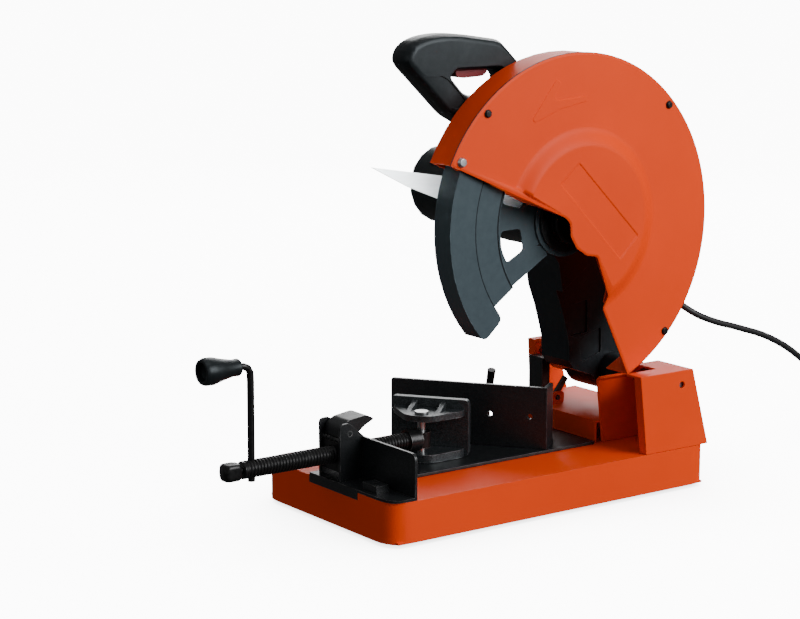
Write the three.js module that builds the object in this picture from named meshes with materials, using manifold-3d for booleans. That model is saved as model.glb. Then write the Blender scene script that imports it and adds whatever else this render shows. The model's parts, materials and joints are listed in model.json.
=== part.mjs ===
// A metal-cutting chop saw: a sheet-steel base with two rear towers, a swinging head with motor,
// gear train, guards and D-handle, a screw vise with a swivelling jaw and a swivelling fence.
//
// Units are millimetres, +Z is up, +X is the operator's right, and the operator stands at -Y.
// The base is drawn with its front face at Y = 0 and its centre at X = 0. The finished group is
// then moved so that the origin is on the floor under the middle of the saw.
// The head is drawn about the spindle axis, the vise about its screw and the fence about its pivot.

import * as THREE from 'three';
import { mergeVertices } from 'three/addons/utils/BufferGeometryUtils.js';
import Module from 'manifold-3d';

const wasm = await Module();
wasm.setup();

// ---------------------------------------------------------------- driving dimensions
const GAP = 0.3; // left between pieces that touch
const DEG = Math.PI / 180;

const BASE = { width: 252, length: 460, height: 50, corner: 22, sheet: 2.5, lift: 4 };
const TABLE = { left: -112, right: 52, front: 36, back: 348, top: 54 };
const TOWER = { left: 46, front: 350, footFront: 361, topBack: 431, back: 457, top: 143, sheet: 3 };
const SADDLE = { left: -113.7, right: 45.7, front: 352, back: 456, top: 76 };
const PIVOT = { y: 414, z: 126, shaft: 8 };
const SPINDLE = { y: 285, z: 324 };
const SCREW = { x: 6, z: 80, radius: 10, front: -110, back: 118 };
const CRANK = { y: -98, reach: 113, rod: 4, bend: 9, knobBack: -112, knobLength: 46 };
const JAW = { pinY: 128, angle: 36.8, halfLength: 46, faceNear: 32, faceFar: 40 };
const FENCE = { x: 12, y: 276, angle: 36.8, left: -158, right: 30, top: 127, face: -25 };
const FENCE_LOCK = { x: -72, y: 276 };

// The notch in the tray for the table, the feet, and the bar and spring at the rear pivot.
const NOTCH = { left: -31, right: 64, bottom: 41.7, depth: 3.6 };
const FOOT = { inset: 26, y: 26, radius: 15, stem: 4, rubber: 3.7, top: 10 };
const LOCK_BAR = { y: 376, z: 83, top: [394, 105], left: -61.5, right: -56.5 };
const SPRING = { coil: 17, wire: 2.4, turns: 4, left: -99, right: -71 };

// The vise bracket, its release lever, the jaw's levels and the fence's foot.
const BRACKET = { left: -15, right: 27, back: 34.5, sheet: 3, top: 117, plateTop: 101, lip: 42 };
const RELEASE = { y: 16, z: 106 };
const JAW_LEVEL = { bottom: 54.8 - SCREW.z, top: 40, web: 22, webTop: 29, foot: -16 };
const FENCE_FOOT = { low: TABLE.top + GAP, high: 59, slotRadius: 84 };

// Head sizes. Places in the head are (y, z) from the spindle axis, X is shared with the base.
const HINGE = [PIVOT.y - SPINDLE.y, PIVOT.z - SPINDLE.z];
const GUARD = { y: -7, z: -6, radius: 195, wall: 1.5, back: 57, face: 95.2 };
const LOWER = {
  outer: 181, inner: 179, step: 146, face: 113, left: 61, right: 90,
  start: 120, end: 222.5, stepEnd: 215.5,
};
const GEARBOX = { y: 8, z: 14, radius: 52, left: -24, right: 45, nose: 34, noseEnd: 66 };
const MOTOR = { y: 0, z: 16, radius: 47, bore: 42.5, left: -150, right: -34.3, end: -172 };
const FLANGE = { radius: 27, seat: 75, blade: 2.3, hub: 12.6, bore: 10.3 };
const HANDLE = { left: 19, right: 56.6, seam: 37.3 };

// Front edge of the swing arm from the gearbox down to the elbow, as (y, z) in the head.
const ARM_FRONT = [[37, -62], [43, -96], [52, -119], [59, -142], [64, -161], [65, -184],
  [72, -194], [98, -204]];
// Rear edge of the arm, from above the elbow up to the gearbox.
const ARM_REAR = [[127, -114], [123, -60], [102, -38]];
const ARM = { left: -52, right: 0, hub: 28, hubLeft: -64, collar: 18, collarRight: 43 };
const LOCK_PIN = { x: 14, z: 4 };
const BRUSH_X = -135;

// The upper guard's edge from its front corner to its rear tip, as (y, z) from the spindle.
const GUARD_CUT = [[-179, 74], [-30, 8], [-23, 1], [-22, -14], [-13, -28], [1, -37], [17, -40],
  [38, -89], [34, -103], [72, -181]];
const COVER_SCREWS = [[-135, 129], [127, 124], [128, -139]];
const CORNER_BOLT = [-170, 79];
const BACK_PLATE_SETBACK = 32; // how far the back plate's cut lies behind the cover's
const DOME = { inner: 85, outer: 107, rise: 8 };

// Corners of the handle's outside and of its grip opening, as (y, z, corner size).
const HANDLE_OUTSIDE = [[-211, 180, 6], [-200, 170, 8], [-152, 124, 8], [-118, 106, 8],
  [-88, 96, 6], [-62, 118, 6], [-46, 150, 6], [-50, 172, 6], [-84, 204, 8], [-138, 212, 10],
  [-165, 213, 10], [-188, 210, 8], [-206, 203, 8], [-213, 190, 8]];
const HANDLE_GRIP = [[-152, 166, 4], [-136, 149, 6], [-124, 144, 6], [-104, 142, 8],
  [-82, 150, 8], [-76, 162, 6], [-86, 172, 6], [-146, 172, 4]];
// The sunk panel in the front of the handle's right side.
const HANDLE_PANEL = [[-197, 168, 4], [-164, 136, 6], [-148, 132, 5], [-130, 134, 5],
  [-140, 146, 5], [-157, 163, 5], [-168, 169, 5]];
// How far the handle's edges are drawn in at each distance from its sides.
const HANDLE_EDGE = [[0, 8], [3, 3], [9, 0]];
const TRIGGER = { left: 29, right: 46, front: -141, back: -98, bottom: 163.5, top: 172 };
const BUTTON = { y: -120, z: 188 };

const CORD = { radius: 4, exit: [-60, 360, 330], coilTurn: 44, coilBundle: 12 };
const COIL = { x: 98, y: 850, z: 12.6 };
// The free stretch from the motor's rear, down behind the saw and out to the coil.
const CORD_ROUTE = [
  [-60, 360, 330], [-60, 376, 330], [-58, 396, 325], [-50, 420, 311], [-36, 442, 288],
  [-16, 460, 259], [6, 474, 230], [26, 489, 206], [38, 510, 188], [42, 538, 175], [42, 586, 160],
  [42, 640, 141], [43, 690, 112], [43, 732, 76], [42, 764, 40], [40, 788, 14], [38, 808, 5],
  [37, 830, 4.2], [37, 850, 4.2],
];
// Where the plug lies: flat behind the coil, its pins pointing to the rear.
const PLUG = { x: 49, y: 942, z: 17 };

// Gear train: armature pinion -> layshaft gear, layshaft pinion -> spindle gear.
const FIRST = { module: 1.0, pinion: 9, gear: 45 };
const SECOND = { module: 1.5, pinion: 11, gear: 36 };
const firstCentres = (FIRST.module * (FIRST.pinion + FIRST.gear)) / 2;
const secondCentres = (SECOND.module * (SECOND.pinion + SECOND.gear)) / 2;
const LAYSHAFT = layshaftPlace();

// The layshaft stands behind the line from spindle to motor, at its two centre distances.
function layshaftPlace() {
  const rise = MOTOR.z;
  const z = (secondCentres ** 2 - firstCentres ** 2 + rise ** 2) / (2 * rise);
  return { y: Math.sqrt(secondCentres ** 2 - z ** 2), z };
}

// ---------------------------------------------------------------- materials
const paint = (color, roughness, metalness) =>
  new THREE.MeshStandardMaterial({ color, roughness, metalness });
const MATERIAL = {
  orange: paint(0xf4661b, 0.42, 0.0),
  blackSteel: paint(0x1c1f22, 0.45, 0.5),
  casting: paint(0x22262a, 0.6, 0.3),
  hammered: paint(0x4a5054, 0.5, 0.5),
  plastic: paint(0x17191c, 0.5, 0.0),
  guardPlastic: paint(0x46545c, 0.55, 0.0),
  steel: paint(0x9a9da0, 0.3, 0.9),
  darkSteel: paint(0x2c2e31, 0.4, 0.8),
  copper: paint(0xb06a3c, 0.4, 0.8),
  rubber: paint(0x101113, 0.85, 0.0),
  red: paint(0xa8383a, 0.5, 0.0),
  clear: paint(0xdfe5e6, 0.15, 0.0),
};

// ---------------------------------------------------------------- solids
// A closed mesh as a solid that can be joined and cut.
function solid(geometry) {
  const bare = geometry.clone();
  bare.deleteAttribute('normal');
  bare.deleteAttribute('uv');
  const merged = mergeVertices(bare, 1e-4);
  const triVerts = new Uint32Array(merged.index.array);
  const vertProperties = new Float32Array(merged.attributes.position.array);
  return new wasm.Manifold(new wasm.Mesh({ numProp: 3, vertProperties, triVerts }));
}

function geometryOf(manifold) {
  const mesh = manifold.getMesh();
  const geometry = new THREE.BufferGeometry();
  geometry.setAttribute('position', new THREE.BufferAttribute(mesh.vertProperties, 3));
  geometry.setIndex(new THREE.BufferAttribute(mesh.triVerts, 1));
  geometry.computeVertexNormals();
  return geometry;
}

const join = (first, ...others) => others.reduce((whole, next) => whole.add(next), first);
const cut = (first, ...others) => others.reduce((whole, next) => whole.subtract(next), first);

// Extrusions. A shape's (u, v) becomes (y, z) along X, (x, z) along Y and (x, y) along Z.
function alongX(shape, x0, x1, curveSegments = 8) {
  const geometry = extrusion(shape, x1 - x0, curveSegments);
  geometry.applyMatrix4(axes([0, 1, 0], [0, 0, 1], [1, 0, 0]));
  return solid(geometry.translate(x0, 0, 0));
}

function alongY(shape, y0, y1, curveSegments = 8) {
  const geometry = extrusion(shape, y1 - y0, curveSegments);
  geometry.applyMatrix4(axes([1, 0, 0], [0, 0, 1], [0, -1, 0]));
  return solid(geometry.translate(0, y1, 0));
}

function alongZ(shape, z0, z1, curveSegments = 8) {
  return solid(extrusion(shape, z1 - z0, curveSegments).translate(0, 0, z0));
}

function extrusion(shape, depth, curveSegments) {
  return new THREE.ExtrudeGeometry(shape, { depth, curveSegments, bevelEnabled: false });
}

// A solid through rings of (y, z) points that run counter-clockwise, each ring at its own x.
function loftX(rings) {
  const count = rings[0].points.length;
  const last = (rings.length - 1) * count;
  const places = rings.flatMap(({ x, points }) => points.flatMap((point) => [x, point.x, point.y]));
  const faces = [];
  for (let start = 0; start < last; start += count) {
    for (let i = 0; i < count; i += 1) {
      const [a, b] = [start + i, start + ((i + 1) % count)];
      faces.push(a, b, b + count, a, b + count, a + count);
    }
  }
  const cap = (ring) => THREE.ShapeUtils.triangulateShape(ring.points, []);
  cap(rings[0]).forEach(([a, b, c]) => faces.push(c, b, a));
  cap(rings[rings.length - 1]).forEach(([a, b, c]) => faces.push(last + a, last + b, last + c));
  const vertProperties = new Float32Array(places);
  const triVerts = new Uint32Array(faces);
  return new wasm.Manifold(new wasm.Mesh({ numProp: 3, vertProperties, triVerts }));
}

function axes(u, v, w) {
  const columns = [u, v, w].map((column) => new THREE.Vector3(...column));
  return new THREE.Matrix4().makeBasis(...columns);
}

// A box from its lowest to its highest corner.
function block([x0, x1], [y0, y1], [z0, z1]) {
  const geometry = new THREE.BoxGeometry(x1 - x0, y1 - y0, z1 - z0);
  return solid(geometry.translate((x0 + x1) / 2, (y0 + y1) / 2, (z0 + z1) / 2));
}

// Round bars along each axis. The place is the bar's centre in the two other directions.
function barX(radius, x0, x1, y = 0, z = 0, sides = 16, radiusEnd = radius) {
  const geometry = new THREE.CylinderGeometry(radiusEnd, radius, x1 - x0, sides);
  return solid(geometry.rotateZ(-Math.PI / 2).translate((x0 + x1) / 2, y, z));
}

function barY(radius, y0, y1, x = 0, z = 0, sides = 16, radiusEnd = radius) {
  const geometry = new THREE.CylinderGeometry(radiusEnd, radius, y1 - y0, sides);
  return solid(geometry.translate(x, (y0 + y1) / 2, z));
}

function barZ(radius, z0, z1, x = 0, y = 0, sides = 16, radiusEnd = radius) {
  const geometry = new THREE.CylinderGeometry(radiusEnd, radius, z1 - z0, sides);
  return solid(geometry.rotateX(Math.PI / 2).translate(x, y, (z0 + z1) / 2));
}

// A ring along X.
function ringX(outer, inner, x0, x1, y = 0, z = 0, sides = 20) {
  return cut(barX(outer, x0, x1, y, z, sides), barX(inner, x0 - 1, x1 + 1, y, z, sides));
}

// A round piece about the X axis from its half section, listed as [x, radius].
function turnedX(section, sides = 20) {
  const points = section.map(([x, radius]) => new THREE.Vector2(radius, x));
  return solid(new THREE.LatheGeometry(points, sides).rotateZ(-Math.PI / 2));
}

// ---------------------------------------------------------------- outlines
function polygon(points) {
  return new THREE.Shape(points.map(([u, v]) => new THREE.Vector2(u, v)));
}

// A polygon whose corners are rounded. A corner may carry its own radius as a third number.
function rounded(points, radius) {
  const shape = new THREE.Shape();
  points.forEach(([u, v, own = radius], i) => {
    const corner = new THREE.Vector2(u, v);
    const before = new THREE.Vector2(...points[(i + points.length - 1) % points.length]);
    const after = new THREE.Vector2(...points[(i + 1) % points.length]);
    const enter = towards(corner, before, own);
    const leave = towards(corner, after, own);
    if (i === 0) shape.moveTo(enter.x, enter.y);
    else shape.lineTo(enter.x, enter.y);
    if (own > 0) shape.quadraticCurveTo(corner.x, corner.y, leave.x, leave.y);
  });
  shape.closePath();
  return shape;
}

function towards(from, to, distance) {
  const step = to.clone().sub(from);
  return from.clone().addScaledVector(step, Math.min(distance / step.length(), 0.49));
}

// The corners of a counter-clockwise outline moved inwards, or outwards by a negative distance.
function inset(corners, distance) {
  const count = corners.length;
  const place = (i) => new THREE.Vector2(...corners[(i + count) % count]);
  const inward = (from, to) => new THREE.Vector2(from.y - to.y, to.x - from.x).normalize();
  return corners.map(([, , size], i) => {
    const before = inward(place(i - 1), place(i));
    const middle = before.clone().add(inward(place(i), place(i + 1))).normalize();
    const moved = place(i).addScaledVector(middle, distance / middle.dot(before));
    return [moved.x, moved.y, size];
  });
}

function rectangle(u0, u1, v0, v1, radius = 0) {
  return rounded([[u0, v0], [u1, v0], [u1, v1], [u0, v1]], radius);
}

// A ring sector about the origin, or about (u, v), between two angles in degrees.
function sector(inner, outer, from, to, u = 0, v = 0) {
  const shape = new THREE.Shape();
  shape.absarc(u, v, outer, from * DEG, to * DEG, false);
  shape.absarc(u, v, inner, to * DEG, from * DEG, true);
  shape.closePath();
  return shape;
}

// ---------------------------------------------------------------- scene helpers
const saw = new THREE.Group();
const head = new THREE.Group();
const vise = new THREE.Group();
const jaw = new THREE.Group();
const fence = new THREE.Group();
const fenceLock = new THREE.Group();
head.position.set(0, SPINDLE.y, SPINDLE.z);
vise.position.set(SCREW.x, 0, SCREW.z);
jaw.position.set(0, JAW.pinY, 0);
jaw.rotation.z = JAW.angle * DEG;
fence.position.set(FENCE.x, FENCE.y, 0);
fence.rotation.z = FENCE.angle * DEG;
fenceLock.position.set(FENCE_LOCK.x, FENCE_LOCK.y, 0);
vise.add(jaw);
saw.add(head, vise, fence, fenceLock);

function add(group, name, manifold, material) {
  const mesh = new THREE.Mesh(geometryOf(manifold), material);
  mesh.name = name;
  group.add(mesh);
  return mesh;
}

// ---------------------------------------------------------------- base
const half = BASE.width / 2;
const deck = BASE.height;

function baseTray() {
  const { corner, sheet, lift, length } = BASE;
  const outer = alongZ(rectangle(-half, half, 0, length, corner * 1.3), lift, deck, 6);
  const inside = rectangle(-half + sheet, half - sheet, sheet, length - sheet, corner * 1.25);
  const hollow = alongZ(inside, lift - 1, deck - sheet, 6);
  const notch = block([NOTCH.left, NOTCH.right], [-1, NOTCH.depth], [NOTCH.bottom, deck + 1]);
  const tabs = footPlaces().map(([x, y]) => footTab(x, y));
  const holes = footPlaces().map(([x, y]) => barZ(FOOT.stem + GAP, 0, 12, x, y, 16));
  return cut(join(cut(outer, hollow, notch), ...tabs), ...holes);
}

// The foot tabs are folded in from the side walls.
function footTab(x, y) {
  const side = Math.sign(x);
  const span = side > 0 ? [x - 18, half - 1] : [-half + 1, x + 18];
  return block(span, [y - 16, y + 16], [BASE.lift, BASE.lift + BASE.sheet]);
}

function footPlaces() {
  const x = half - FOOT.inset;
  const back = BASE.length - FOOT.y;
  return [[-x, FOOT.y], [x, FOOT.y], [-x, back], [x, back]];
}

function foot(x, y) {
  const { radius, stem, rubber, top } = FOOT;
  const tabTop = BASE.lift + BASE.sheet + GAP;
  const section = [[0, 0], [radius, 0], [radius - 1, rubber], [stem, rubber], [stem, tabTop],
    [stem + 2, tabTop], [stem, top], [0, top]];
  const points = section.map(([r, z]) => new THREE.Vector2(r, z));
  return solid(new THREE.LatheGeometry(points, 12).rotateX(Math.PI / 2).translate(x, y, 0));
}

function tablePlate() {
  const { left, right, front, back, top } = TABLE;
  const plate = alongZ(rectangle(left, right, front, back, 4), deck + GAP, top, 4);
  const pivotHole = barZ(4 + GAP, deck, top + 1, FENCE.x, FENCE.y, 16);
  const lockHole = barZ(4 + GAP, deck, top + 1, FENCE_LOCK.x, FENCE_LOCK.y, 16);
  return cut(plate, pivotHole, lockHole);
}

function rearSaddle() {
  const { left, right, front, back, top } = SADDLE;
  const sheet = BASE.sheet;
  const foot0 = deck + GAP;
  const folded = polygon([[front, foot0], [front, top], [back, top], [back, foot0],
    [back - sheet, foot0], [back - sheet, top - sheet], [front + sheet, top - sheet],
    [front + sheet, foot0]]);
  const lug = alongX(rounded([[366, top - 1], [366, 90], [386, 90], [386, top - 1]], 5), -55, -51.5);
  const lugHole = barX(3 + GAP, -60, -50, LOCK_BAR.y, LOCK_BAR.z, 16);
  return cut(join(alongX(folded, left, right), lug), lugHole);
}

// The outline of both towers seen from the side, as (y, z).
function towerSide(front, footFront, inset = 0) {
  const { topBack, back, top } = TOWER;
  const foot0 = inset ? deck - 1 : deck + GAP;
  return polygon([[footFront, foot0], [front, top - inset], [topBack - inset, top - inset],
    [back - inset * 1.3, foot0]]);
}

function rightTower() {
  const { left, front, footFront, top, sheet } = TOWER;
  const chamfer = { across: 20, down: 17 };
  const outline = (inset) => polygon([[left + inset, deck - inset], [half - inset, deck - inset],
    [half - inset, top - inset], [left + chamfer.across + inset / 2, top - inset],
    [left + inset, top - chamfer.down - inset / 2]]);
  const outer = alongX(towerSide(front, footFront), left, half).intersect(
    alongY(outline(0), front - 5, TOWER.back + 5));
  const hollow = alongX(towerSide(front - 5, footFront - 5, sheet), left, half).intersect(
    alongY(outline(sheet), front - 20, TOWER.back + 5));
  const shell = cut(outer, hollow, openFront(outline, sheet));
  const lip = alongX(towerSide(front, footFront), half - 12, half - 1).intersect(
    alongX(polygon([[footFront, deck], [front, top], [front + 3, top], [footFront + 3, deck]]),
      half - 12, half - 1));
  const guardSlot = block([52, 101], [front - 5, 396], [top - 14, top + 1]);
  const shaftHole = barX(PIVOT.shaft + GAP, left - 1, left + 20, PIVOT.y, PIVOT.z, 20);
  const accessHole = barX(4, half - 6, half + 1, PIVOT.y, PIVOT.z, 16);
  return cut(join(shell, lip), guardSlot, shaftHole, accessHole);
}

// Cuts the tower's front face away so that the guard can swing into it.
function openFront(outline, sheet) {
  return alongY(outline(sheet), TOWER.front - 20, TOWER.footFront + 4);
}

function leftTower() {
  const sheet = TOWER.sheet;
  const front = 389;
  const wall = alongX(towerSide(front, front + 5), -half, -half + sheet);
  const strip = (shape) => alongX(shape, -half, -half + 12);
  const frontFold = strip(polygon([[front + 5, deck + GAP], [front, TOWER.top],
    [front + sheet, TOWER.top], [front + 5 + sheet, deck + GAP]]));
  const topFold = strip(rectangle(front, TOWER.topBack, TOWER.top - sheet, TOWER.top));
  const footFold = strip(rectangle(front + 5, TOWER.back, deck + GAP, deck + GAP + sheet));
  const shaftHole = barX(PIVOT.shaft + GAP, -half - 1, -half + 20, PIVOT.y, PIVOT.z, 20);
  return cut(join(wall, frontFold, topFold, footFold), shaftHole);
}

// ---------------------------------------------------------------- rear pivot and head lock

function pivotShaft() {
  const left = -half - GAP;
  return join(barX(PIVOT.shaft, left - 1, half - TOWER.sheet - 1, PIVOT.y, PIVOT.z, 20),
    barX(12, left - 6, left, PIVOT.y, PIVOT.z, 20));
}

function pivotNut() {
  const { y, z, shaft } = PIVOT;
  const end = half - TOWER.sheet - GAP;
  return cut(barX(13, end - 9, end, y, z, 6), barX(shaft + GAP, end - 10, end + 1, y, z, 20));
}

// A helix of wire about the pivot shaft.
function torsionSpring() {
  const { coil, wire, turns, left, right } = SPRING;
  const steps = turns * 12;
  const points = Array.from({ length: steps + 1 }, (_, i) => {
    const angle = (i / steps) * turns * 2 * Math.PI;
    const x = left + ((right - left) * i) / steps;
    return new THREE.Vector3(x, PIVOT.y + coil * Math.cos(angle), PIVOT.z + coil * Math.sin(angle));
  });
  const section = new THREE.Shape().absarc(0, 0, wire, 0, 2 * Math.PI, false);
  const extrudePath = new THREE.CatmullRomCurve3(points);
  return solid(new THREE.ExtrudeGeometry(section, { steps, extrudePath, curveSegments: 4 }));
}

function lockBracket() {
  const plate = block([-110, -84], [378, 390], [SADDLE.top + GAP, 126]);
  return join(plate, block([-110, -84], [366, 380], [SADDLE.top + GAP, SADDLE.top + 5]));
}

// The bar that holds the head down for carrying turns on a pin in the saddle's lug.
function lockBar() {
  const { y, z, top, left, right } = LOCK_BAR;
  const lean = Math.atan2(top[0] - y, top[1] - z);
  const across = [3.2 * Math.cos(lean), -3.2 * Math.sin(lean)];
  const sides = [[y + across[0], z + across[1]], [top[0] + across[0], top[1] + across[1]],
    [top[0] - across[0], top[1] - across[1]], [y - across[0], z - across[1]]];
  return join(alongX(polygon(sides), left, right), barX(4.5, left, right, y, z, 16),
    barX(3, right - 1, -50, y, z, 16));
}

// ---------------------------------------------------------------- vise

// The side outline of a cheek, as (y, z).
function cheek(x0) {
  const { back, sheet, top, plateTop } = BRACKET;
  const side = rounded([[3, deck + GAP, 0], [2.5, top, 5], [15, top + 1, 4], [back, plateTop, 0],
    [back, deck + GAP, 0]], 0);
  return alongX(side, x0, x0 + sheet, 4);
}

function viseBracket() {
  const { left, right, back, sheet, plateTop, lip } = BRACKET;
  const low = deck + GAP;
  const flange = alongZ(rounded([[NOTCH.left + 1, GAP, 0], [half, GAP, BASE.corner * 1.3],
    [half, back, 0], [NOTCH.left + 1, back, 0]], 0), low, low + sheet, 6);
  const plate = alongY(rounded([[right - sheet, low, 0], [half, low, 0], [half, plateTop, 8],
    [right - sheet, plateTop, 0]], 0), back - sheet, back, 4);
  const drop = block([NOTCH.left + 1, NOTCH.right - 1], [0, sheet], [lip, low + sheet]);
  const clampBlock = block([65, 91], [6, 22], [low + sheet - 1, 62]);
  const pinHoles = barX(3.3, left - 1, right + 1, RELEASE.y, RELEASE.z, 16);
  const boltHole = barZ(2, 55, 63, 78, 14, 12);
  return cut(join(flange, plate, drop, clampBlock, cheek(left), cheek(right - sheet)),
    pinHoles, boltHole);
}

// The nut that the screw runs in. It is clamped between the bracket's cheeks.
function nutBlock() {
  const body = block([BRACKET.left + 3.3, BRACKET.right - 3.3], [6, 32], [62, 95]);
  return cut(body, barY(SCREW.radius + GAP, 5, 33, SCREW.x, SCREW.z, 18));
}

function releaseLever() {
  const side = rounded([[8, 98], [8, 112], [17, 119], [42, 122.5], [53, 117], [40, 111], [24, 99]], 4);
  return join(alongX(side, -9, 21, 4), barX(3, BRACKET.left - 0.5, BRACKET.right + 0.5,
    RELEASE.y, RELEASE.z, 16));
}

// The vise screw, with a neck and a square head at its outer end and a cross hole for the crank.
function leadScrew() {
  const { radius, front, back } = SCREW;
  const turned = join(barY(radius, front, back, 0, 0, 18), barY(5, front - 6, front + 1, 0, 0, 16));
  const squareHead = block([-9, 9], [front - 23, front - 5], [-9, 9]);
  return cut(join(turned, squareHead), barZ(CRANK.rod + GAP, -12, 12, 0, CRANK.y, 16));
}

// A bent rod: up through the screw's cross hole, then out to the front inside the knob.
function crankArm() {
  const { y, reach, rod, bend, knobBack, knobLength } = CRANK;
  const elbow = Array.from({ length: 5 }, (_, i) => {
    const turn = (i / 4) * (Math.PI / 2);
    return new THREE.Vector3(0, y - bend + bend * Math.cos(turn), reach - bend + bend * Math.sin(turn));
  });
  const ends = [new THREE.Vector3(0, y, -14), new THREE.Vector3(0, y, 20)];
  const tip = new THREE.Vector3(0, knobBack - knobLength + 12, reach);
  const section = new THREE.Shape().absarc(0, 0, rod, 0, 2 * Math.PI, false);
  const extrudePath = new THREE.CatmullRomCurve3([...ends, ...elbow, tip], false, 'centripetal');
  return solid(new THREE.ExtrudeGeometry(section, { steps: 30, extrudePath, curveSegments: 6 }));
}

// A hollow-ended taper knob that turns on the rod's tip.
function crankKnob() {
  const { reach, rod, knobBack, knobLength } = CRANK;
  const front = knobBack - knobLength;
  const bore = rod + GAP;
  const section = [[0, front + 8], [9, front + 6], [10.5, front], [13.5, front], [15, front + 4],
    [15, front + 13], [12, front + 24], [9.2, knobBack - 8], [9.6, knobBack - 2], [8.6, knobBack],
    [bore, knobBack], [bore, front + 11], [0, front + 11]];
  const points = section.map(([r, y]) => new THREE.Vector2(r, y));
  return solid(new THREE.LatheGeometry(points, 20).translate(0, 0, reach));
}

function noseYoke() {
  const body = join(barY(13, SCREW.back - 12, SCREW.back + 4, 0, 0, 20),
    barZ(11, -9, 9, 0, JAW.pinY, 20), block([-9, 9], [SCREW.back, JAW.pinY], [-9, 9]));
  return cut(body, barY(SCREW.radius + GAP, SCREW.back - 13, SCREW.back + GAP, 0, 0, 18),
    barZ(4.5 + GAP, -12, 12, 0, JAW.pinY, 20));
}

function jawPin() {
  const { bottom, webTop } = JAW_LEVEL;
  return join(barZ(4.5, bottom + 1, webTop + 1, 0, JAW.pinY, 20),
    barZ(8, webTop + GAP, webTop + 3, 0, JAW.pinY, 20));
}

// The cast jaw: a tall face, an upper and a lower web to the pin, and two ribs over the web.
function castJaw() {
  const { halfLength, faceNear, faceFar } = JAW;
  const { bottom, top, web, webTop, foot: footTop } = JAW_LEVEL;
  const face = alongY(rectangle(-halfLength, halfLength, bottom, top, 5), faceNear, faceFar, 4);
  const plan = rounded([[-14, -13, 10], [14, -13, 10], [halfLength - 5, 24, 6],
    [halfLength - 5, faceNear + 1, 0], [-halfLength + 5, faceNear + 1, 0],
    [-halfLength + 5, 24, 6]], 0);
  const ribs = [-17, 17].map((u) => alongX(polygon([[2, webTop - 1], [faceNear + 1, webTop - 1],
    [faceNear + 1, top - 3]]), u - 2.5, u + 2.5));
  const body = join(face, alongZ(plan, web, webTop, 4), alongZ(plan, bottom, footTop, 4), ...ribs);
  return cut(body, barZ(4.5 + GAP, bottom - 1, webTop + 1, 0, 0, 20));
}

// ---------------------------------------------------------------- fence

function fencePlate() {
  const { left, right, top, face } = FENCE;
  const { low, high, slotRadius } = FENCE_FOOT;
  const thick = 5;
  const wall = alongY(rectangle(left, right, low, top, 3), face, face + thick, 4);
  const turnedEnd = block([right - thick, right], [face, face + 30], [low, top]);
  const footPlan = rounded([[-100, face + 1], [right, face + 1], [right, 14], [-20, 30],
    [-48, 71], [-74, 71], [-100, 40]], 6);
  const footPlate = alongZ(footPlan, low, high, 4);
  const slot = alongZ(sector(slotRadius - 4.6, slotRadius + 4.6, 130, 184.5), low - 1, high + 1, 10);
  const wallHoles = [-38, 10].map((u) => barY(3, face - 1, face + thick + 1, u, 92, 14));
  return cut(join(wall, turnedEnd, footPlate), slot, barZ(4 + GAP, low - 1, high + 1, 0, 0, 16),
    ...wallHoles);
}

function fencePivotBolt() {
  const { high } = FENCE_FOOT;
  return join(barZ(4, deck + 0.6, high + 1, FENCE.x, FENCE.y, 16),
    barZ(7.5, high + GAP, high + 6, FENCE.x, FENCE.y, 6));
}

// The clamping lever with the stud that it screws onto.
function fenceLockLever() {
  const { high } = FENCE_FOOT;
  const tip = new THREE.Vector3(25, -6, 132);
  const start = new THREE.Vector3(4, 1, high + 12);
  const bar = new THREE.CylinderGeometry(5, 3.6, start.distanceTo(tip), 14);
  const lean = new THREE.Quaternion().setFromUnitVectors(new THREE.Vector3(0, 1, 0),
    tip.clone().sub(start).normalize());
  bar.applyQuaternion(lean);
  const middle = start.clone().add(tip).multiplyScalar(0.5);
  return join(barZ(4, deck + 0.6, high + 4, 0, 0, 16), barZ(9, high + GAP, high + 17, 0, 0, 20),
    solid(bar.translate(middle.x, middle.y, middle.z)));
}

// ---------------------------------------------------------------- head: casting and motor

function armCasting() {
  const [hy, hz] = HINGE;
  const { y, z, radius, left, right, nose, noseEnd } = GEARBOX;
  const legSide = polygon([...ARM_FRONT, [hy, hz - 20], [hy + 26, hz + 10], ...ARM_REAR,
    [78, -34], [37, -34]].reverse());
  const neckSide = polygon([[12, -30], [37, -62], [43, -96], [80, -70], [78, -34], [58, 0],
    [30, 0]].reverse());
  const body = join(alongX(legSide, ARM.left, ARM.right), alongX(neckSide, left, 12),
    barX(ARM.hub, ARM.left, ARM.right, hy, hz, 32), barX(22, ARM.hubLeft, ARM.left + 1, hy, hz, 32),
    barX(ARM.collar, -1, ARM.collarRight, hy, hz, 32), barX(radius, left, right, y, z, 32),
    barX(nose, right - 1, noseEnd, 0, 0, 32), barX(11, 28, right, -50, 5, 20), ...guardBosses());
  return cut(body, ...gearSpaces(), ...armPockets(), ...armPanels(),
    barX(PIVOT.shaft + GAP, ARM.hubLeft - 1, ARM.collarRight + 1, hy, hz, 20));
}

// Three bosses carry the guard's back plate.
function guardBosses() {
  return [40, 90, 140].map((angle) => {
    const y = GEARBOX.y + 42 * Math.cos(angle * DEG);
    const z = GEARBOX.z + 42 * Math.sin(angle * DEG);
    return barX(7, GEARBOX.right - 2, GUARD.back - GAP, y, z, 16);
  });
}

// Room for the gears, the bearing, the spindle, the layshaft's end and the spindle lock.
function gearSpaces() {
  const { left, noseEnd } = GEARBOX;
  return [barX(31, left - 1, 26, 0, 0, 20), barX(26.5, left - 1, 26, LAYSHAFT.y, LAYSHAFT.z, 32),
    barX(17.5 + GAP, 25, 38, 0, 0, 18), barX(13, 37, noseEnd + 1, 0, 0, 18),
    barX(5 + GAP, 25, 35, LAYSHAFT.y, LAYSHAFT.z, 16),
    barY(5 + GAP, -50, -20, LOCK_PIN.x, LOCK_PIN.z, 16)];
}

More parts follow.
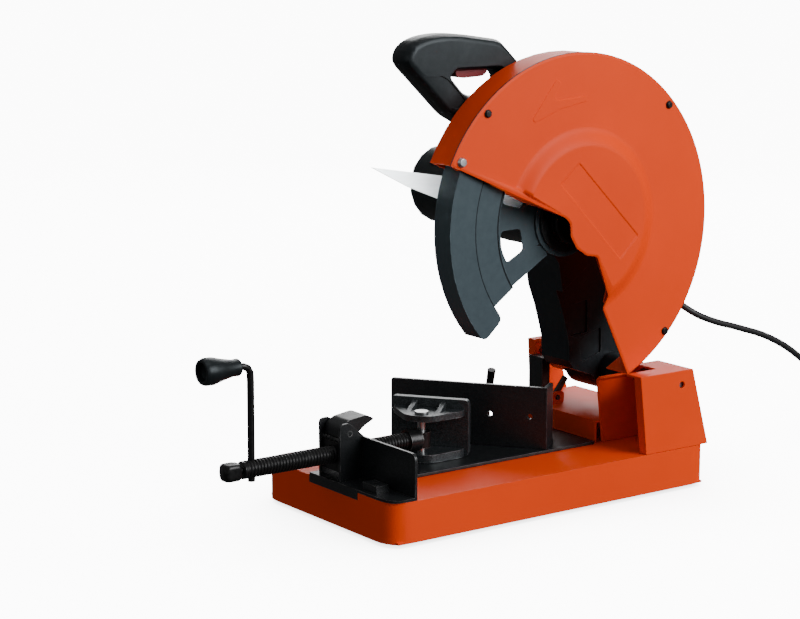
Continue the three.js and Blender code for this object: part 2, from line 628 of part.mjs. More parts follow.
// The arm is cast hollow from its left side.
function armPockets() {
  const upper = polygon([[60, -100], [66, -118], [88, -108], [80, -62], [66, -62]]);
  const lower = polygon([[73, -132], [80, -180], [96, -186], [104, -160], [100, -126]]);
  return [alongX(upper, ARM.left - 1, -12), alongX(lower, ARM.left - 1, -12)];
}

// Two shallow panels in the arm's right face.
function armPanels() {
  const tall = rounded([[63, -117], [92, -112], [92, -152], [66, -154]], 3);
  const low = rounded([[79, -158], [113, -148], [114, -178], [84, -188]], 3);
  return [alongX(tall, -2.5, 1, 3), alongX(low, -2.5, 1, 3)];
}

function spindleLockButton() {
  const { x, z } = LOCK_PIN;
  return join(barY(5, -54, -33.5, x, z, 16), barY(8, -60, -52, x, z, 20));
}

function gearCover() {
  const { y, z, radius, left } = GEARBOX;
  const plate = barX(radius, -34, left - GAP, y, z, 32);
  return cut(plate, barX(8.5 + GAP, -33, left, 0, 0, 20), barX(6, -35, left, MOTOR.y, MOTOR.z, 20),
    barX(5 + GAP, -32, left, LAYSHAFT.y, LAYSHAFT.z, 16));
}

function motorHousing() {
  const { y, z, radius, bore, left, right } = MOTOR;
  const tube = cut(barX(radius, left, right, y, z, 32), barX(bore, left - 1, -47, y, z, 32));
  const brushHoles = [135, -45].map((angle) => radialBar(5 + GAP, 20, 60, angle));
  const cordHole = barY(6.5 + GAP, 30, 60, CORD.exit[0], CORD.exit[2] - SPINDLE.z, 20);
  return cut(tube, barX(13, -48, -38, y, z, 18), barX(6, -39, right + 1, y, z, 20), cordHole,
    ...brushHoles);
}

// A bar that points away from the motor's axis at the brushes.
function radialBar(radius, from, to, angle, sides = 16) {
  const geometry = new THREE.CylinderGeometry(radius, radius, to - from, sides);
  geometry.translate(0, (from + to) / 2, 0).rotateX(angle * DEG);
  return solid(geometry.translate(BRUSH_X, MOTOR.y, MOTOR.z));
}

function brushHolder(angle) {
  return join(radialBar(5, 13.8, 48.5, angle), radialBar(7.5, MOTOR.radius + GAP, 50, angle, 20));
}

function motorEndCap() {
  const { y, z, radius, left, end } = MOTOR;
  const section = [[end, 0], [end, 38], [end + 1.5, radius - 2.5], [end + 5, radius],
    [left - GAP, radius], [left - GAP, 42.5], [end + 9, 42.5], [end + 6, 38], [end + 4, 12],
    [end + 12, 12], [end + 12, 5.4], [end + 2.5, 5.4], [end + 2.5, 0]];
  const cap = turnedX(section, 18).translate([0, y, z]);
  const slots = Array.from({ length: 6 }, (_, i) => {
    const slot = alongX(sector(17, 29, i * 60 + 8, i * 60 + 48), end - 1, end + 8, 2);
    return slot.translate([0, y, z]);
  });
  return cut(cap, ...slots);
}

function stator() {
  const { y, z, bore } = MOTOR;
  return ringX(bore - GAP, 27.5, -118, -66, y, z, 32);
}

// ---------------------------------------------------------------- rotating parts
// A gear outline with straight-flanked teeth. turn is the angle of its first tooth in degrees.
function gearOutline(teeth, module, turn, play = 0.12) {
  const pitch = (teeth * module) / 2;
  const tip = pitch + 0.85 * module;
  const root = pitch - 1.15 * module;
  const step = (2 * Math.PI) / teeth;
  const wide = (width) => (width * module - play) / 2;
  const points = [];
  for (let i = 0; i < teeth; i += 1) {
    const middle = turn * DEG + i * step;
    const corners = [[root, -wide(2.15)], [tip, -wide(0.8)], [tip, wide(0.8)], [root, wide(2.15)]];
    corners.forEach(([r, offset]) => {
      const angle = middle + offset / r;
      points.push([r * Math.cos(angle), r * Math.sin(angle)]);
    });
  }
  return polygon(points);
}

function gearX(teeth, module, turn, x0, x1, y = 0, z = 0) {
  return alongX(gearOutline(teeth, module, turn), x0, x1).translate([0, y, z]);
}

// Angles at which teeth meet: a tooth of one gear points into a gap of the next.
const toLayshaft = Math.atan2(LAYSHAFT.z, LAYSHAFT.y) / DEG;
const fromMotor = Math.atan2(LAYSHAFT.z - MOTOR.z, LAYSHAFT.y - MOTOR.y) / DEG;
const gap = (teeth) => 180 / teeth;

function spindle() {
  const body = turnedX([[-32, 0], [-32, 6], [-20, 6], [-20, 7.5], [38.3, 7.5], [38.3, 12],
    [70, 12], [70, 10], [83, 10], [83, 5.3], [52, 5.3], [52, 0]], 18);
  return body;
}

const driveGear = () => cut(gearX(SECOND.gear, SECOND.module, toLayshaft, 8, 20),
  barX(7.5 + GAP, 7, 21, 0, 0, 18));

function layshaft() {
  const { y, z } = LAYSHAFT;
  return join(barX(5, -31.5, 34, y, z, 16),
    gearX(SECOND.pinion, SECOND.module, toLayshaft + 180 + gap(SECOND.pinion), 5, 23, y, z),
    gearX(FIRST.gear, FIRST.module, fromMotor + 180, -20, -10, y, z));
}

function armature() {
  const { y, z } = MOTOR;
  const section = [[-168, 0], [-168, 5], [-146, 5], [-146, 13], [-127, 13], [-127, 20],
    [-121, 22], [-121, 26], [-64, 26], [-64, 20], [-61, 5], [-59, 5], [-59, 37], [-57, 37],
    [-57, 14], [-50, 14], [-50, 5], [-23, 5], [-23, 3.2], [-20, 3.2], [-20, 0]];
  const shaft = turnedX(section, 18).translate([0, y, z]);
  const pinion = gearX(FIRST.pinion, FIRST.module, fromMotor + gap(FIRST.pinion), -21, -10, y, z);
  const vanes = Array.from({ length: 6 }, (_, i) => {
    const vane = block([-58, -50], [-1, 1], [12, 36]);
    return vane.rotate([i * 60, 0, 0]).translate([0, y, z]);
  });
  return join(shaft, pinion, ...vanes);
}

function spindleBearing() {
  return ringX(17.5, 7.5 + GAP, 26.3, 37, 0, 0, 18);
}

function guardRetainer() {
  return ringX(38, 13, GEARBOX.noseEnd + GAP, 69, 0, 0, 20);
}

function innerFlange() {
  const { radius, seat, blade, hub, bore } = FLANGE;
  return turnedX([[70.3, bore], [70.3, radius], [seat, radius], [seat, hub],
    [seat + blade - GAP, hub], [seat + blade - GAP, bore], [70.3, bore]], 20);
}

function outerFlange() {
  const { radius, seat, blade, bore } = FLANGE;
  const near = seat + blade;
  return turnedX([[near, bore], [near, radius], [near + 4, radius], [near + 5.7, radius - 4],
    [near + 5.7, bore], [near, bore]], 20);
}

function arborBolt() {
  return join(barX(5, 53, 84, 0, 0, 16), barX(13, 83.3, 86, 0, 0, 18), barX(9.2, 86, 94, 0, 0, 6));
}

// ---------------------------------------------------------------- guards

// The guard's outline: a circle from the rear tip over the top to the front, closed by the cut.
function guardOutline(radius) {
  const { y, z } = GUARD;
  const angleOf = ([u, v]) => Math.atan2(v - z, u - y);
  const front = GUARD_CUT[0];
  const tip = GUARD_CUT[GUARD_CUT.length - 1];
  const shape = new THREE.Shape();
  shape.absarc(y, z, radius, angleOf(tip), angleOf(front), false);
  GUARD_CUT.slice(1, -1).forEach(([u, v]) => shape.lineTo(u, v));
  shape.closePath();
  return shape;
}

// The back plate ends further back than the cover, but for a corner that holds the corner bolt.
function backPlate() {
  const { back, radius } = GUARD;
  const full = alongX(guardOutline(radius), back, back + 2, 18);
  const corner = block([back - 1, back + 3], [-230, -148], [0, 200]);
  return join(full.intersect(full.translate([0, BACK_PLATE_SETBACK, 0])), full.intersect(corner));
}

function guardShell() {
  const { y, z, radius, wall, back, face } = GUARD;
  const plate = backPlate();
  const rim = alongX(guardOutline(radius), back, face - 1.8, 18).subtract(
    barX(radius - wall, back - 1, face, y, z, 72));
  const tabs = COVER_SCREWS.map(([u, v]) => barX(9, face - 4.6, face - 1.8, u, v, 16).intersect(
    barX(radius - 1, back, face, y, z, 72)));
  const room = barX(GEARBOX.nose + 2, back - 1, back + 3, 0, 0, 32);
  const screwHoles = COVER_SCREWS.map(([u, v]) => barX(2.6, face - 5, face, u, v, 12));
  const boltHole = barX(3.9, back - 1, back + 3, ...CORNER_BOLT, 16);
  return cut(join(plate, rim, ...tabs), room, ...screwHoles, boltHole);
}

function guardCover() {
  const { face, radius } = GUARD;
  const thick = 1.5;
  const { inner, outer, rise } = DOME;
  const sheet = turnedX([[face + rise, 0], [face + rise, inner], [face, outer], [face, 230],
    [face - thick, 230], [face - thick, outer - 0.6], [face + rise - thick, inner - 0.6],
    [face + rise - thick, 0]].reverse(), 48);
  const blank = sheet.intersect(alongX(guardOutline(radius), face - 5, face + 20, 18));
  const holes = [...COVER_SCREWS, CORNER_BOLT].map(([u, v]) =>
    barX(3.9, face - 5, face + 2, u, v, 12));
  return cut(join(blank, directionMark()), namePanel(), ...holes);
}

// A raised arrowhead that shows which way the blade turns.
function directionMark() {
  const mark = rounded([[-74, 119, 3], [-40, 162, 3], [-33, 157, 2], [-43, 142, 3], [-38, 138, 3],
    [2, 141, 2], [5, 135, 3], [-34, 128, 4], [-70, 115, 3]].reverse(), 0);
  return alongX(mark, GUARD.face - 0.5, GUARD.face + 0.8, 3);
}

// A shallow blank panel pressed into the raised disc.
function namePanel() {
  const panel = polygon([[-12, 69], [-39, 46], [51, -47], [78, -21]].reverse());
  return alongX(panel, GUARD.face + DOME.rise - 0.7, GUARD.face + DOME.rise + 1);
}

function coverScrew([y, z]) {
  const { face } = GUARD;
  return join(barX(2.2, face - 4.2, face + 1, y, z, 12),
    barX(5, face + GAP, face + 2.8, y, z, 18, 3.4));
}

function cornerBolt() {
  const { back, face } = GUARD;
  return join(barX(3.5, back, face + 1, ...CORNER_BOLT, 16),
    barX(6, face + GAP, face + 4, ...CORNER_BOLT, 20, 4.2));
}

// The swinging lower guard: a rim, a stepped near face, and a far web with windows about a hub.
function lowerGuard() {
  const { outer, inner, face, step, left, right, start, end, stepEnd } = LOWER;
  const skin = 2;
  const fine = 9;
  const rim = alongX(sector(inner, outer, start, end - 2), left, right - 1, fine);
  const raised = alongX(sector(step, outer, start, end - 6), right - skin, right, fine);
  const lowered = alongX(sector(face, step + 2, start, stepEnd), right - 4, right - 1.8, fine);
  const web = alongX(sector(40, outer, start + 12, stepEnd), left, left + skin, fine);
  const hub = ringX(43, GEARBOX.nose + GAP, left - 1, GEARBOX.noseEnd - GAP, 0, 0, 32);
  const tip = alongX(lowerGuardTip(), right - skin, right, 3);
  const foot = alongX(lowerGuardFoot(), left, left + skin);
  const windows = [[140, 165], [184, 208]].map(([from, to]) =>
    alongX(rounded(windowCorners(from, to), 5), left - 2, left + 4, 3));
  return cut(join(rim, raised, lowered, tip, web, foot, hub), ...windows);
}

// The rounded lower end of the raised face.
function lowerGuardTip() {
  const { outer, step, end } = LOWER;
  return rounded([around(outer, end - 7), [...around(outer, end), 9],
    [...around(step + 1, end), 7], around(step, end - 7)].reverse(), 0);
}

// The part of the web that reaches down from its end to the hub.
function lowerGuardFoot() {
  const { stepEnd } = LOWER;
  return polygon([around(100, stepEnd - 2), around(102, 223.5), around(46, 239), around(40, 225),
    around(50, stepEnd - 2)]);
}

// The place at a distance and an angle from the spindle.
function around(radius, angle) {
  return [radius * Math.cos(angle * DEG), radius * Math.sin(angle * DEG)];
}

function windowCorners(from, to) {
  const spots = [[63, from + 1], [91, from], [93, (from + to) / 2], [92, to], [65, to]];
  return spots.map(([radius, angle]) => around(radius, angle)).reverse();
}

function chipShield() {
  const side = polygon([[-254, 75], [-205, 50], [-158, 31], [-60, -8], [-41, -8], [-41, 16],
    [-96, 48], [-150, 57.5]]);
  return cut(alongX(side, GEARBOX.right + GAP, GEARBOX.right + 3.3),
    barX(2.5, 44, 50, -50, 5, 12));
}

// ---------------------------------------------------------------- handle

function handleBody() {
  const { left, right } = HANDLE;
  const near = HANDLE_EDGE.map(([depth, inwards]) => [left + depth, inwards]);
  const far = HANDLE_EDGE.map(([depth, inwards]) => [right - depth, inwards]).reverse();
  const stations = [...near, ...far];
  const wall = (corners, sign, spare) => loftX(stations.map(([x, inwards], i) => ({
    x: i === 0 ? x - spare : x + (i === stations.length - 1 ? spare : 0),
    points: rounded(inset(corners, sign * inwards), 0).getPoints(3).slice(0, -1),
  })));
  return cut(wall(HANDLE_OUTSIDE, 1, 0), wall(HANDLE_GRIP, -0.6, 0.5),
    alongX(rounded(HANDLE_PANEL, 0), right - 1.6, right + 1, 3));
}

function handleHalf(x0, x1) {
  const { left, right, front, back, bottom, top } = TRIGGER;
  const slack = 0.5;
  const triggerSlot = block([left - slack, right + slack], [front - slack, back + slack],
    [bottom - 5, top + 8]);
  const switchRoom = block([24, 51], [-152, -88], [top + 7, 198]);
  const buttonHole = barX(5 + GAP, 0, 26, BUTTON.y, BUTTON.z, 16);
  return handleBody().intersect(block([x0, x1], [-230, -30], [80, 220])).subtract(
    join(triggerSlot, switchRoom, buttonHole));
}

function trigger() {
  const { left, right, front, back, bottom, top } = TRIGGER;
  const side = rounded([[front, top, 0], [front, bottom + 3, 3], [front + 8, bottom, 4],
    [back - 6, bottom + 1, 4], [back, bottom + 5, 3], [back, top, 0]], 0);
  return alongX(side, left, right, 3);
}

const switchModule = () => block([30.5, 48], [-148, -92], [179.5, 196]);
const lockOffButton = () => barX(5, 16, 27, BUTTON.y, BUTTON.z, 18);

// ---------------------------------------------------------------- cord

function strainRelief() {
  const [x, y, z] = CORD.exit;
  const back = y - SPINDLE.y - GAP;
  const section = [[0, 43], [6.5, 43], [6.5, 47.6], [9, 47.6], [9, 50.5], [7.5, 53.5], [5.6, back],
    [0, back]];
  const points = section.map(([r, along]) => new THREE.Vector2(r, along));
  const sleeve = new THREE.LatheGeometry(points, 20);
  return solid(sleeve.translate(x, 0, z - SPINDLE.z));
}

function powerCord() {
  const points = CORD_ROUTE.map((place) => new THREE.Vector3(...place));
  const section = new THREE.Shape().absarc(0, 0, CORD.radius, 0, 2 * Math.PI, false);
  const extrudePath = new THREE.CatmullRomCurve3(points);
  return solid(new THREE.ExtrudeGeometry(section, { steps: 38, extrudePath, curveSegments: 4 }));
}

// The wound-up length, as the ring that its turns fill.
function cordCoil() {
  const { coilTurn, coilBundle } = CORD;
  const bundle = Array.from({ length: 9 }, (_, i) => {
    const angle = (i / 8) * 2 * Math.PI;
    return new THREE.Vector2(coilTurn + coilBundle * Math.cos(angle), coilBundle * Math.sin(angle));
  });
  const ring = new THREE.LatheGeometry(bundle, 20).rotateX(Math.PI / 2);
  return solid(ring.translate(COIL.x, COIL.y, COIL.z));
}

function plug() {
  const { x, y, z } = PLUG;
  const body = solid(new THREE.ExtrudeGeometry(rounded([[-17, -15], [13, -18], [17, -13],
    [17, 13], [13, 18], [-17, 15]], 5), { depth: 33, curveSegments: 4, bevelEnabled: false }));
  const tail = barX(7, 16, 36, 0, 16.5, 18, 5);
  const pins = [-9.5, 9.5].map((offset) => barX(2.4, -36, -16, offset, 16.5, 12));
  return join(body, tail, ...pins).rotate([0, 0, -90]).translate([x, y, z - 16.5]);
}

// ---------------------------------------------------------------- assembly
function buildBase() {
  const m = MATERIAL;
  add(saw, 'base_tray', baseTray(), m.orange);
  add(saw, 'right_tower', rightTower(), m.orange);
  add(saw, 'left_tower', leftTower(), m.orange);
  add(saw, 'rear_saddle', rearSaddle(), m.orange);
  add(saw, 'table_plate', tablePlate(), m.blackSteel);
  const corners = ['front_left', 'front_right', 'rear_left', 'rear_right'];
  footPlaces().forEach(([x, y], i) => add(saw, `foot_${corners[i]}`, foot(x, y), m.rubber));
  add(saw, 'pivot_shaft', pivotShaft(), m.steel);
  add(saw, 'pivot_nut', pivotNut(), m.darkSteel);
  add(saw, 'torsion_spring', torsionSpring(), m.steel);
  add(saw, 'lock_bracket', lockBracket(), m.blackSteel);
  add(saw, 'lock_bar', lockBar(), m.blackSteel);
}

function buildVise() {
  const m = MATERIAL;
  add(saw, 'vise_bracket', viseBracket(), m.blackSteel);
  add(saw, 'nut_block', nutBlock(), m.darkSteel);
  add(saw, 'release_lever', releaseLever(), m.blackSteel);
  add(vise, 'lead_screw', leadScrew(), m.darkSteel);
  add(vise, 'crank_arm', crankArm(), m.darkSteel);
  add(vise, 'crank_knob', crankKnob(), m.plastic);
  add(vise, 'nose_yoke', noseYoke(), m.darkSteel);
  add(vise, 'jaw_pin', jawPin(), m.steel);
  add(jaw, 'cast_jaw', castJaw(), m.hammered);
}

function buildFence() {
  add(fence, 'fence_plate', fencePlate(), MATERIAL.blackSteel);
  add(saw, 'fence_pivot_bolt', fencePivotBolt(), MATERIAL.darkSteel);
  add(fenceLock, 'fence_lock_lever', fenceLockLever(), MATERIAL.darkSteel);
}

function buildHead() {
  const m = MATERIAL;
  add(head, 'arm_casting', armCasting(), m.casting);
  add(head, 'spindle_lock_button', spindleLockButton(), m.plastic);
  add(head, 'gear_cover', gearCover(), m.casting);
  add(head, 'motor_housing', motorHousing(), m.plastic);
  add(head, 'motor_end_cap', motorEndCap(), m.plastic);
  add(head, 'stator', stator(), m.copper);
  add(head, 'brush_holder_front', brushHolder(135), m.plastic);
  add(head, 'brush_holder_rear', brushHolder(-45), m.plastic);
  add(head, 'guard_shell', guardShell(), m.orange);
  add(head, 'guard_cover', guardCover(), m.orange);
  const spots = ['front', 'top', 'rear'];
  COVER_SCREWS.forEach((place, i) => {
    add(head, `cover_screw_${spots[i]}`, coverScrew(place), m.darkSteel);
  });
  add(head, 'guard_corner_bolt', cornerBolt(), m.steel);
  add(head, 'guard_retainer', guardRetainer(), m.blackSteel);
  add(head, 'lower_guard', lowerGuard(), m.guardPlastic);
  add(head, 'chip_shield', chipShield(), m.clear);
  add(head, 'handle_left', handleHalf(HANDLE.left, HANDLE.seam - GAP / 2), m.plastic);
  add(head, 'handle_right', handleHalf(HANDLE.seam + GAP / 2, HANDLE.right), m.plastic);
  add(head, 'switch_module', switchModule(), m.plastic);
  add(head, 'trigger', trigger(), m.red);
  add(head, 'lock_off_button', lockOffButton(), m.plastic);
}

function buildDrive() {
  const m = MATERIAL;
  add(head, 'spindle', spindle(), m.steel);
  add(head, 'spindle_bearing', spindleBearing(), m.steel);
  add(head, 'drive_gear', driveGear(), m.darkSteel);
  add(head, 'inner_flange', innerFlange(), m.darkSteel);
  add(head, 'outer_flange', outerFlange(), m.darkSteel);
  add(head, 'arbor_bolt', arborBolt(), m.darkSteel);
  add(head, 'layshaft', layshaft(), m.steel);
  add(head, 'armature', armature(), m.steel);
}

function buildCord() {
  add(head, 'strain_relief', strainRelief(), MATERIAL.rubber);
  add(saw, 'power_cord', powerCord(), MATERIAL.rubber);
  add(saw, 'cord_coil', cordCoil(), MATERIAL.rubber);
  add(saw, 'plug', plug(), MATERIAL.rubber);
}

// Puts the origin on the floor under the middle of the saw, leaving the free cord out.
function centreOnFloor() {
  const loose = ['power_cord', 'cord_coil', 'plug'];
  const size = new THREE.Box3();
  saw.updateMatrixWorld(true);
  saw.traverse((node) => {
    if (node.isMesh && !loose.includes(node.name)) size.expandByObject(node, true);
  });
  const middle = size.getCenter(new THREE.Vector3());
  saw.position.set(-middle.x, -middle.y, -size.min.z);
}

buildBase();
buildVise();
buildFence();
buildHead();
buildDrive();
buildCord();
centreOnFloor();

export default saw;
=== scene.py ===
"""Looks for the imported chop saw: camera, light, procedural materials, and the pieces that need a finer
surface than their CAD solids have. Sizes are in metres. Places inside the saw are given in millimetres
from the middle of the base's front edge at floor level, as the saw's drawing has them, through at()."""

import json
import math

import bmesh
import bpy
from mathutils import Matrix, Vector
from mathutils.geometry import delaunay_2d_cdt


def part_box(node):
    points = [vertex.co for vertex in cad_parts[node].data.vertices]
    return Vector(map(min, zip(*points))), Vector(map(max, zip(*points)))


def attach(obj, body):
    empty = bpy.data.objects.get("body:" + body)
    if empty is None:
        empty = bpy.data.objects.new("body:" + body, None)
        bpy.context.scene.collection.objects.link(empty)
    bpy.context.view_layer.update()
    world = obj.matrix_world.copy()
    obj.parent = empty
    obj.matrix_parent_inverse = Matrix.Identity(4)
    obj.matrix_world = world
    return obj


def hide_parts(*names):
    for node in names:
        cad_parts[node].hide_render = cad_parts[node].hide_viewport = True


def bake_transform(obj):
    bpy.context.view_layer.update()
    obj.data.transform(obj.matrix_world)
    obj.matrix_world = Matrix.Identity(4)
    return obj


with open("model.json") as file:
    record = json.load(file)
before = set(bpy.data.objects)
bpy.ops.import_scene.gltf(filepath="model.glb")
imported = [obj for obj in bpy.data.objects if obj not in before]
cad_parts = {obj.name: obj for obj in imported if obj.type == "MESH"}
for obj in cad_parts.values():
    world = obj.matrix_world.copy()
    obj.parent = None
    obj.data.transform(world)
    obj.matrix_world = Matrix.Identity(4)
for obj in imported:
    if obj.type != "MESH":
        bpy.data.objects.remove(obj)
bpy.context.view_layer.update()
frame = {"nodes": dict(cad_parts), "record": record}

MM = 0.001
BASE_HALF_WIDTH = 126.0
base_low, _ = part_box("base_tray")
ORIGIN = Vector((base_low.x + BASE_HALF_WIDTH * MM, base_low.y, 0.0))

# The spindle, the upper guard's centre and the vise screw, as (Y, Z) or (X, Z).
SPINDLE = (285.0, 324.0)
GUARD_CENTRE = (278.0, 318.0)
GUARD_RADIUS = 195.0
COVER_FACE = 95.2
SCREW_AXIS = (6.0, 80.0)

# The radii of the lower guard's round steps, and how far the painted shade in their corners reaches to
# either side of them.
GUARD_STEPS = (146.0, 114.5)
GUARD_STEP_SHADE = 1.0


def at(x, y, z):
    """A place in the saw, from millimetres to the frame's metres."""
    return ORIGIN + Vector((x, y, z)) * MM


# ------------------------------------------------------------------------------------------ camera
CAMERA_PLACE = (1953.5, -1306.4, 689.6)
CAMERA_TARGET = (-176.7, 230.0, 188.6)
CAMERA_LENS = 99.2


def make_camera():
    data = bpy.data.cameras.new("camera")
    data.lens = CAMERA_LENS
    data.sensor_width = 36.0
    data.clip_end = 50.0
    camera = bpy.data.objects.new("camera", data)
    bpy.context.scene.collection.objects.link(camera)
    camera.location = at(*CAMERA_PLACE)
    direction = at(*CAMERA_TARGET) - camera.location
    camera.rotation_euler = direction.to_track_quat("-Z", "Y").to_euler()
    bpy.context.scene.camera = camera


# ------------------------------------------------------------------------------------------ cord
# Millimetres, but for the length, which is in metres.
CORD_DIAMETER = 8.0
CORD_ROUTE = [
    (-60, 360, 330), (-60, 376, 330), (-58, 396, 325), (-50, 420, 311), (-36, 442, 288),
    (-16, 460, 259), (6, 474, 230), (26, 489, 206), (38, 510, 188), (42, 538, 175),
    (42, 586, 160), (42, 640, 141), (43, 690, 112), (43, 732, 76), (42, 764, 40),
    (40, 788, 14), (38, 808, 5), (37, 830, 4.2),
]
COIL_CENTRE = (98.0, 850.0)
COIL_LEAD_IN = 61.0
COIL_OUTSIDE = 52.6
COIL_SPACING = 8.3
COIL_LEVELS = (4.2, 12.5, 20.7)
COIL_POINTS_PER_TURN = 16
PLUG_TAIL = (49.0, 906.0, 17.0)


def coil_points():
    """The coil's turns: in along the ground, out on top of them, and one more turn above those.
    It runs clockwise as seen from above, and starts at the coil's left."""
    first, second, third = COIL_LEVELS
    innermost = COIL_OUTSIDE - 2 * COIL_SPACING
    # Each step is the number of turns so far, the radius and the height there.
    steps = [
        (0.00, COIL_LEAD_IN, first), (0.25, COIL_OUTSIDE + 3.0, first), (0.50, COIL_OUTSIDE, first),
        (2.50, innermost, first), (2.75, innermost, second), (4.55, COIL_OUTSIDE - 1.5, second),
        (4.85, COIL_OUTSIDE - 3.0, third), (6.00, COIL_OUTSIDE - 4.0, third),
    ]
    points = []
    for (t0, r0, z0), (t1, r1, z1) in zip(steps, steps[1:]):
        count = max(2, round((t1 - t0) * COIL_POINTS_PER_TURN))
        for i in range(count):
            s = i / count
            points.append(coil_place(t0 + s * (t1 - t0), r0 + s * (r1 - r0), z0 + s * (z1 - z0)))
    points.append(coil_place(*steps[-1]))
    return points


def coil_place(turn, radius, height):
    angle = math.pi - 2 * math.pi * turn
    x = COIL_CENTRE[0] + radius * math.cos(angle)
    y = COIL_CENTRE[1] + radius * math.sin(angle)
    return (x, y, height)


def make_cord(rubber):
    """The cord as one tube, in place of the CAD cord and its coil."""
    end_x, end_y, end_z = PLUG_TAIL
    tail = [(49.4, 872, 20.6), (49.2, 890, 19), PLUG_TAIL, (end_x, end_y + 6, end_z)]
    curve = smooth_curve("cord_line", CORD_ROUTE + coil_points() + tail)
    line = mesh_of(curve)
    curve.bevel_depth = CORD_DIAMETER * MM / 2
    curve.bevel_resolution = 5
    curve.use_fill_caps = True
    mesh = mesh_of(curve)
    for polygon in mesh.polygons:
        polygon.use_smooth = True
    mesh.materials.append(rubber)
    cord = bpy.data.objects.new("power_cord_run", mesh)
    bpy.context.scene.collection.objects.link(cord)
    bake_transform(cord)
    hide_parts("power_cord", "cord_coil")


def smooth_curve(name, route):
    """A curve that runs smoothly through places given in millimetres."""
    curve = bpy.data.curves.new(name, "CURVE")
    curve.dimensions = "3D"
    curve.resolution_u = 4
    spline = curve.splines.new("BEZIER")
    spline.bezier_points.add(len(route) - 1)
    for point, place in zip(spline.bezier_points, route):
        point.co = at(*place)
        point.handle_left_type = "AUTO"
        point.handle_right_type = "AUTO"
    return curve


def mesh_of(curve):
    """The mesh that a curve draws: its line, or its tube once it has a bevel."""
    holder = bpy.data.objects.new(curve.name, curve)
    bpy.context.scene.collection.objects.link(holder)
    mesh = bpy.data.meshes.new_from_object(holder.evaluated_get(bpy.context.evaluated_depsgraph_get()))
    bpy.data.objects.remove(holder)
    return mesh


# ------------------------------------------------------------------------------------------ nodes
def new_material(name):
    material = bpy.data.materials.new(name)
    material.use_nodes = True
    tree = material.node_tree
    shader = tree.nodes["Principled BSDF"]
    coordinates = tree.nodes.new("ShaderNodeTexCoord")
    return material, tree, shader, coordinates.outputs["Object"]


def noise(tree, vector, scale, detail=3.0, roughness=0.5, distortion=0.0):
    node = tree.nodes.new("ShaderNodeTexNoise")
    tree.links.new(vector, node.inputs["Vector"])
    node.inputs["Scale"].default_value = scale
    node.inputs["Detail"].default_value = detail
    node.inputs["Roughness"].default_value = roughness
    node.inputs["Distortion"].default_value = distortion
    return node.outputs["Fac"]


def cells(tree, vector, scale, randomness=1.0):
    node = tree.nodes.new("ShaderNodeTexVoronoi")
    node.feature = "SMOOTH_F1"
    tree.links.new(vector, node.inputs["Vector"])
    node.inputs["Scale"].default_value = scale
    node.inputs["Smoothness"].default_value = 0.6
    node.inputs["Randomness"].default_value = randomness
    return node.outputs["Distance"]


def stretched(tree, vector, scale):
    node = tree.nodes.new("ShaderNodeMapping")
    tree.links.new(vector, node.inputs["Vector"])
    node.inputs["Scale"].default_value = scale
    return node.outputs["Vector"]


def ramp(tree, value, low, high, low_colour=(0, 0, 0, 1), high_colour=(1, 1, 1, 1)):
    node = tree.nodes.new("ShaderNodeValToRGB")
    tree.links.new(value, node.inputs["Fac"])
    start, end = node.color_ramp.elements
    start.position, end.position = low, high
    start.color, end.color = low_colour, high_colour
    return node.outputs["Color"]


def blend_colour(tree, factor, first, second, mode="MIX"):
    node = tree.nodes.new("ShaderNodeMix")
    node.data_type = "RGBA"
    node.blend_type = mode
    for socket, value in ((node.inputs[0], factor), (node.inputs[6], first), (node.inputs[7], second)):
        if isinstance(value, bpy.types.NodeSocket):
            tree.links.new(value, socket)
        else:
            socket.default_value = value
    return node.outputs[2]


def remap(tree, value, low, high):
    node = tree.nodes.new("ShaderNodeMapRange")
    tree.links.new(value, node.inputs["Value"])
    node.inputs["To Min"].default_value = low
    node.inputs["To Max"].default_value = high
    return node.outputs["Result"]


def bump(tree, shader, height, strength, distance, onto=None):
    node = tree.nodes.new("ShaderNodeBump")
    node.inputs["Strength"].default_value = strength
    node.inputs["Distance"].default_value = distance
    tree.links.new(height, node.inputs["Height"])
    if onto is not None:
        tree.links.new(onto, node.inputs["Normal"])
    tree.links.new(node.outputs["Normal"], shader.inputs["Normal"])
    return node.outputs["Normal"]


def edge_wear(tree, vector, reach=0.7, patch_scale=90.0):
    """White along convex edges up to a reach in millimetres, broken up by patches."""
    node = tree.nodes.new("ShaderNodeAmbientOcclusion")
    node.inside = True
    node.only_local = True
    node.samples = 4
    node.inputs["Distance"].default_value = reach * MM
    edges = ramp(tree, node.outputs["AO"], 0.50, 0.92, (1, 1, 1, 1), (0, 0, 0, 1))
    patches = ramp(tree, noise(tree, vector, patch_scale, 4.0, 0.6), 0.42, 0.60)
    return blend_colour(tree, 1.0, edges, patches, "MULTIPLY")


def shades(colour, darker, lighter):
    """A darker and a lighter version of a colour."""
    dark = tuple(c * darker for c in colour) + (1.0,)
    light = tuple(min(1.0, c * lighter) for c in colour) + (1.0,)
    return dark, light


# ------------------------------------------------------------------------------------------ materials
def orange_paint():
    """Powder coat: an even orange with a fine orange peel and slightly rubbed edges."""
    material, tree, shader, vector = new_material("orange_powder_coat")
    dark, light = shades((0.88, 0.058, 0.0006), 0.95, 1.03)
    clouds = noise(tree, vector, 9.0, 3.0)
    body = ramp(tree, clouds, 0.35, 0.7, dark, light)
    worn = blend_colour(tree, edge_wear(tree, vector), body, (0.85, 0.13, 0.02, 1.0))
    tree.links.new(worn, shader.inputs["Base Color"])
    tree.links.new(remap(tree, noise(tree, vector, 38.0, 5.0), 0.42, 0.52), shader.inputs["Roughness"])
    shader.inputs["Specular IOR Level"].default_value = 0.17
    peel = bump(tree, shader, noise(tree, vector, 700.0, 2.0), 0.10, 0.0004)
    bump(tree, shader, noise(tree, vector, 2600.0, 1.0), 0.05, 0.0002, peel)
    return material


